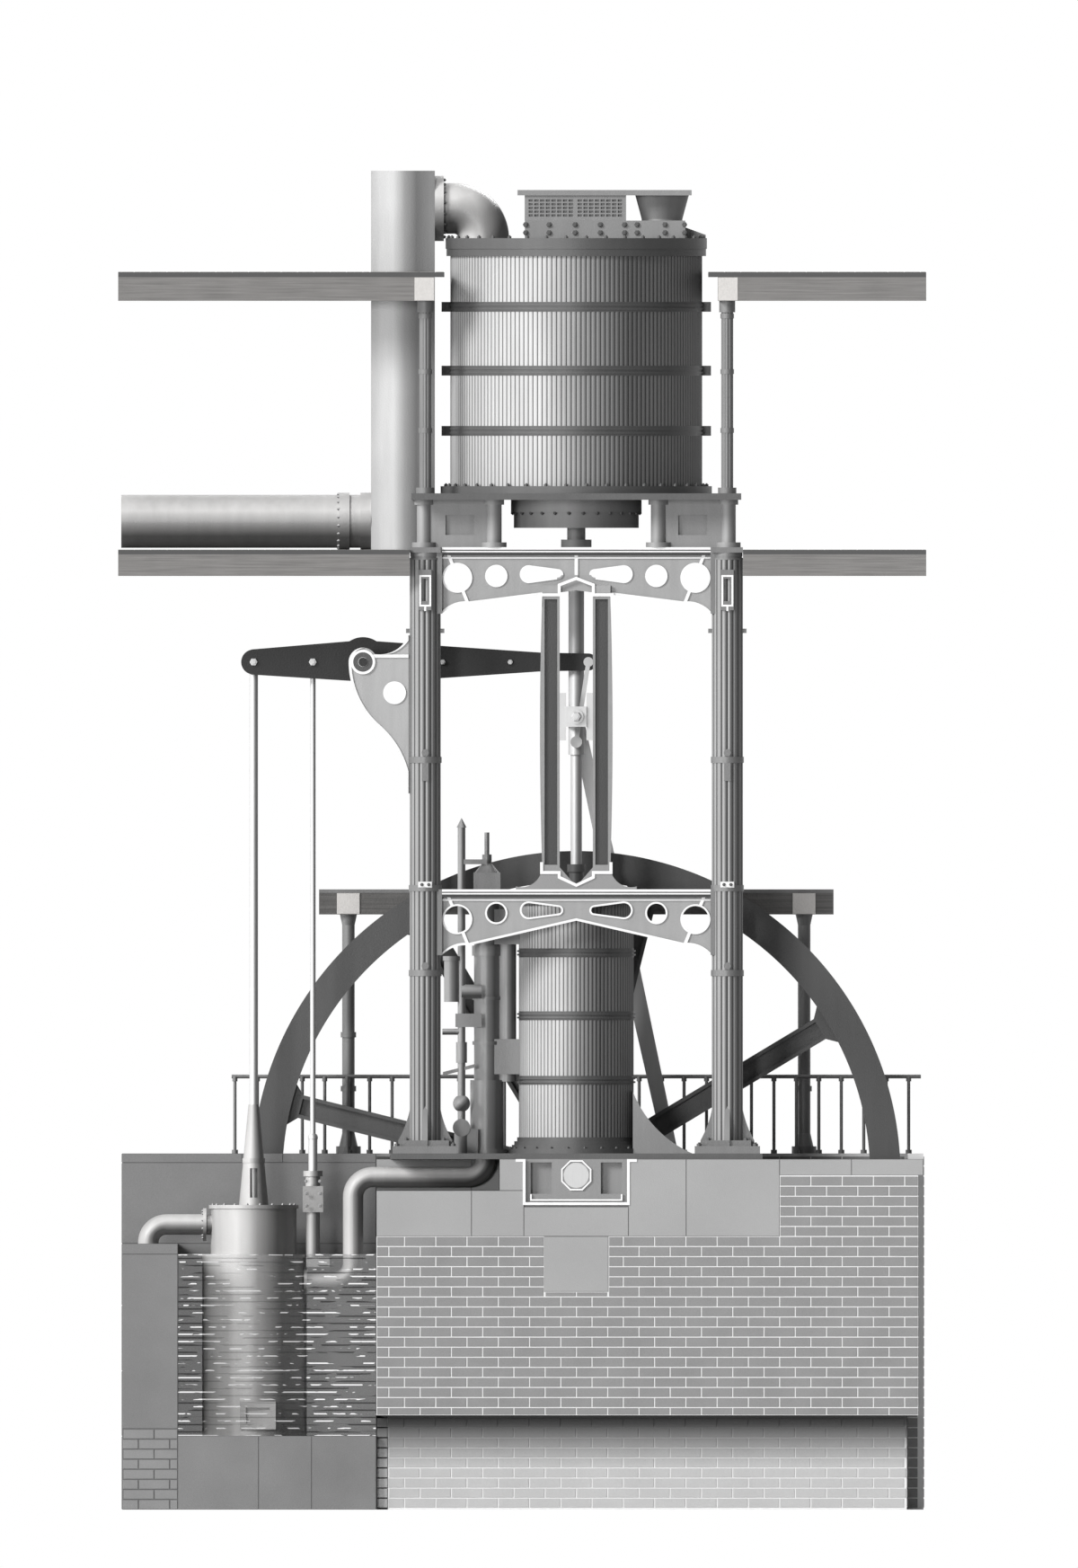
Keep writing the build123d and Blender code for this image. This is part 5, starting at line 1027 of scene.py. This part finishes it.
sill = [(602.9, 959.5), (602.9, 971), (622.5, 971), (622.5, 976.3), (641.5, 985.2)]
head = [(601.3, 675), (601.3, 662), (622.5, 662), (622.5, 651), (641.5, 643.7)]
lips = []
guide_face = frame_depth + 0.118
for half_path in (sill, head):
    lips += both_sides(mirrored(half_path), 0.036, guide_face)
pale_iron = cast_iron("pale_iron", 0.78, 0.5, painted_shade_amount=0.0)
piece("guide_lips", lips, pale_iron)

hanger_face = frame_depth + 0.225
hangers = []
for x in (-column_x, column_x):
    left, right, top, foot = x - 0.062, x + 0.062, height(641), height(674)
    frame_path = [(x, top), (left, top), (left, foot), (right, foot), (right, top), (x, top)]
    hangers += both_sides(frame_path, 0.022, hanger_face)
    hangers += both_sides([(x, foot), (x, height(680))], 0.024, hanger_face - 0.004)
piece("hanger_lips", hangers, pale_iron)

# %% [markdown]
# The bearing of the shaft is framed too: an iron channel let into the stone, a sole plate in it, and
# an eight-sided brass round the shaft.

# %% Lips of the bearing
bearing_front = -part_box("main_bearing_front")[0].y
shaft_level = 4.092
channel = [(574, 1291.5), (583.5, 1291.5), (583.5, 1339.5), (642.5, 1339.5)]
sole = [(591, 1329), (591, 1335.5), (642.5, 1335.5)]
bearing_lips = []
for half_path, width, face in ((channel, 0.034, front), (sole, 0.020, -bearing_front)):
    bearing_lips.append(ribbon(mirrored(half_path), width, face - 0.022, face + lip_root))
brass_radius = 0.190
corner = np.pi / 8 + np.arange(8) * np.pi / 4
rim = np.stack([brass_radius * np.cos(corner), shaft_level + brass_radius * np.sin(corner)], -1)
seam = (rim[0] + rim[-1]) / 2
octagon = np.vstack([seam, rim, seam])
brass_lip = ribbon(octagon, 0.018, -bearing_front - lip_proud, -bearing_front + lip_root)
bearing_lips.append(brass_lip)
piece("bearing_lips", bearing_lips, pale_iron)

# %% [markdown]
# Small pale plates with two studs stand on the columns in line with the lower girders.

# %% Plates on the columns
plate_face = frame_depth + column_radius + strip_rise
plate_rise = height(984.5)
plates = []
studs = []
for x in (-column_x, column_x):
    for axes, flip in ((forward, 1), (backward, -1)):
        middle = flip * x
        place = [[middle - 0.085, middle + 0.085, plate_rise - 0.036, plate_rise + 0.036]]
        plates.append(slabs(place, (0, -flip * (plate_face - 0.035), 0), axes, 0.050, 0.008))
        stud_face = -flip * (plate_face + 0.015)
        stud_pair = [(x + side, stud_face, plate_rise) for side in (-0.042, 0.042)]
        studs.append(nuts(stud_pair, (0, -flip, 0), 0.022))
piece("column_plates", plates, pale_iron)
piece("column_studs", studs, dark_iron)

# %% [markdown]
# The beam's pins and distance studs have bright ends, which rock with it, and the crosshead's pin
# has a bright nut. Each rides on its own body.

# %% Bright pin ends
stud_places = [(across(column), -0.200, beam_level) for column in (493, 568)]
pin_places = [(x, -0.180, beam_level) for x in (air_pump_axis, feed_axis)]
beam_nuts = [nuts(stud_places, (0, -1, 0), 0.034), nuts(pin_places, (0, -1, 0), 0.050)]
piece("beam_nuts", beam_nuts, bright_steel, "beam")
crosshead_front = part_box("crosshead")[0].y
crosshead_level = 9.707
pin_nut = nuts([(0, crosshead_front, crosshead_level)], (0, -1, 0), 0.060)
piece("crosshead_nut", [pin_nut], bright_steel, "crosshead")

# %% [markdown]
# Water stands in the pump pit round the condenser. The section shows it through its open
# front as short level strokes, so the body of water is a clear block whose face carries pale
# strokes. Two crossing waves ripple its top: z = level + 4 mm sin(9x + 5y) + 3 mm sin(11y - 4x). A
# small well inside the barrel of the feed pump leaves room for the plunger.

# %% Water in the pit
water = Finish("water", {"Roughness": 0.08, "IOR": 1.33})
look = water.normal()
water_place = water.spot()
rows = water.node("ShaderNodeMath", {"operation": "SINE"}, {0: water_place[2] * 71.0})
broken = water.noise(0.10, 1.0, (1.5, 1.0, 0.42)) > 0.54
condenser_middle = -3.94
condenser_half = 0.64
clear_of_pump = abs(water_place[0] - condenser_middle) > condenser_half
strokes = (rows > 0.86) * broken
dark_strokes = (rows < -0.8) * (water.noise(0.12, 1.0, (3.0, 1.0, 0.42)) > 0.47)
open_side = (look[1] < -0.5) + (look[2] > 0.5)
water.cover(water.blend(strokes, grey(0.20), grey(0.80)))
water.paint(dark_strokes, grey(0.03))
veil = 0.04 + clear_of_pump * 0.50
water.join(water.shader.inputs["Alpha"], open_side * (veil + strokes * 0.44 + dark_strokes * 0.30))

water_level = height(1396)
well_foot = 3.040
well_half = 0.057
well_lines = np.array([-0.060, -well_half, well_half, 0.060])
margin = 0.003
plain_lines = 60
u = np.linspace(pier_right + margin, pit_right - margin, plain_lines)
v = np.linspace(front + margin, wall_low.y - margin, plain_lines)
u = np.sort(np.append(u, feed_axis + well_lines))
v = np.sort(np.append(v, well_lines))
steps = len(u)
grid_x, grid_y = np.meshgrid(u, v)
ripple = 0.004 * np.sin(grid_x * 9 + grid_y * 5) + 0.003 * np.sin(grid_y * 11 - grid_x * 4)
in_well = np.maximum(abs(grid_x - feed_axis), abs(grid_y)) < well_half + 0.001
top = np.stack([grid_x, grid_y, np.where(in_well, well_foot, water_level + ripple)], -1)
bottom = np.stack([grid_x, grid_y, np.full_like(grid_x, pit_bed + margin)], -1)
top_faces = grid_faces(steps, steps)
bottom_faces = top_faces[:, ::-1] + steps * steps
border = [
    np.arange(steps),
    np.arange(1, steps) * steps + steps - 1,
    steps * (steps - 1) + np.arange(steps - 2, -1, -1),
    np.arange(steps - 2, 0, -1) * steps,
]
rim = np.concatenate(border)
rim_next = np.roll(rim, -1)
skirt = np.stack([rim, rim + steps * steps, rim_next + steps * steps, rim_next], -1)
water_faces = np.vstack([top_faces, bottom_faces, skirt])
water_points = np.concatenate([top.reshape(-1, 3), bottom.reshape(-1, 3)])
piece("pit_water", [(water_points, water_faces)], water)

# %% [markdown]
# The studio is a pale floor, a white world and a soft sun from the left, which is where the
# engraver put the light. A weaker lamp from ahead reaches into the pit and the trench. One from
# behind keeps the far side readable, and one from above brightens the floor. The world is white only
# where the camera, a reflection or clear water looks at it, and lights the engine more gently.

# %% Floor and light
half = 300.0
floor_points = [(-half, -half, 0), (half, -half, 0), (half, half, 0), (-half, half, 0)]
floor_mesh = bpy.data.meshes.new("studio_floor")
floor_mesh.from_pydata(floor_points, [], [(0, 1, 2, 3)])
floor_finish = masonry("studio_floor", 0.82, 0.86, 6.0, 0.5, 0.0)
floor_mesh.materials.append(floor_finish.material)
floor = put("studio_floor", floor_mesh)
floor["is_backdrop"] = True

world = bpy.data.worlds.new("studio")
world.use_nodes = True
bpy.context.scene.world = world
tree = world.node_tree
background = tree.nodes["Background"]
path = tree.nodes.new("ShaderNodeLightPath")
seen = path.outputs["Is Camera Ray"]
for ray in ("Is Glossy Ray", "Is Transmission Ray"):
    either = tree.nodes.new("ShaderNodeMath")
    either.operation = "MAXIMUM"
    tree.links.new(seen, either.inputs[0])
    tree.links.new(path.outputs[ray], either.inputs[1])
    seen = either.outputs[0]
mix = tree.nodes.new("ShaderNodeMix")
mix.data_type = "RGBA"
tree.links.new(seen, mix.inputs[0])
mix.inputs[6].default_value = (0.10, 0.10, 0.102, 1)
mix.inputs[7].default_value = (1, 1, 1, 1)
tree.links.new(mix.outputs[2], background.inputs["Color"])
background.inputs["Strength"].default_value = 1.0

# Each lamp has a name, a strength, degrees above the floor, degrees round the engine and a spread.
lamps = (
    ("sun", 2.6, 24, -42, 0.35),
    ("front_lamp", 1.15, 2, -13, 0.15),
    ("back_lamp", 1.5, 32, 158, 0.5),
    ("top_lamp", 0.6, 80, -20, 0.6),
)
for name, energy, lift, turn, spread in lamps:
    lamp_data = bpy.data.lights.new(name, "SUN")
    lamp_data.energy = energy
    lamp_data.angle = spread
    lamp = put(name, lamp_data)
    lamp.rotation_euler = (math.radians(90 - lift), 0, math.radians(turn))
bpy.context.scene.view_settings.view_transform = "Standard"
print(len(lamps), "lamps light the studio")

# %% Sizes, and the end
low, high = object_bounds()
print("dressed box", [round(v, 3) for v in (*low, *high)])
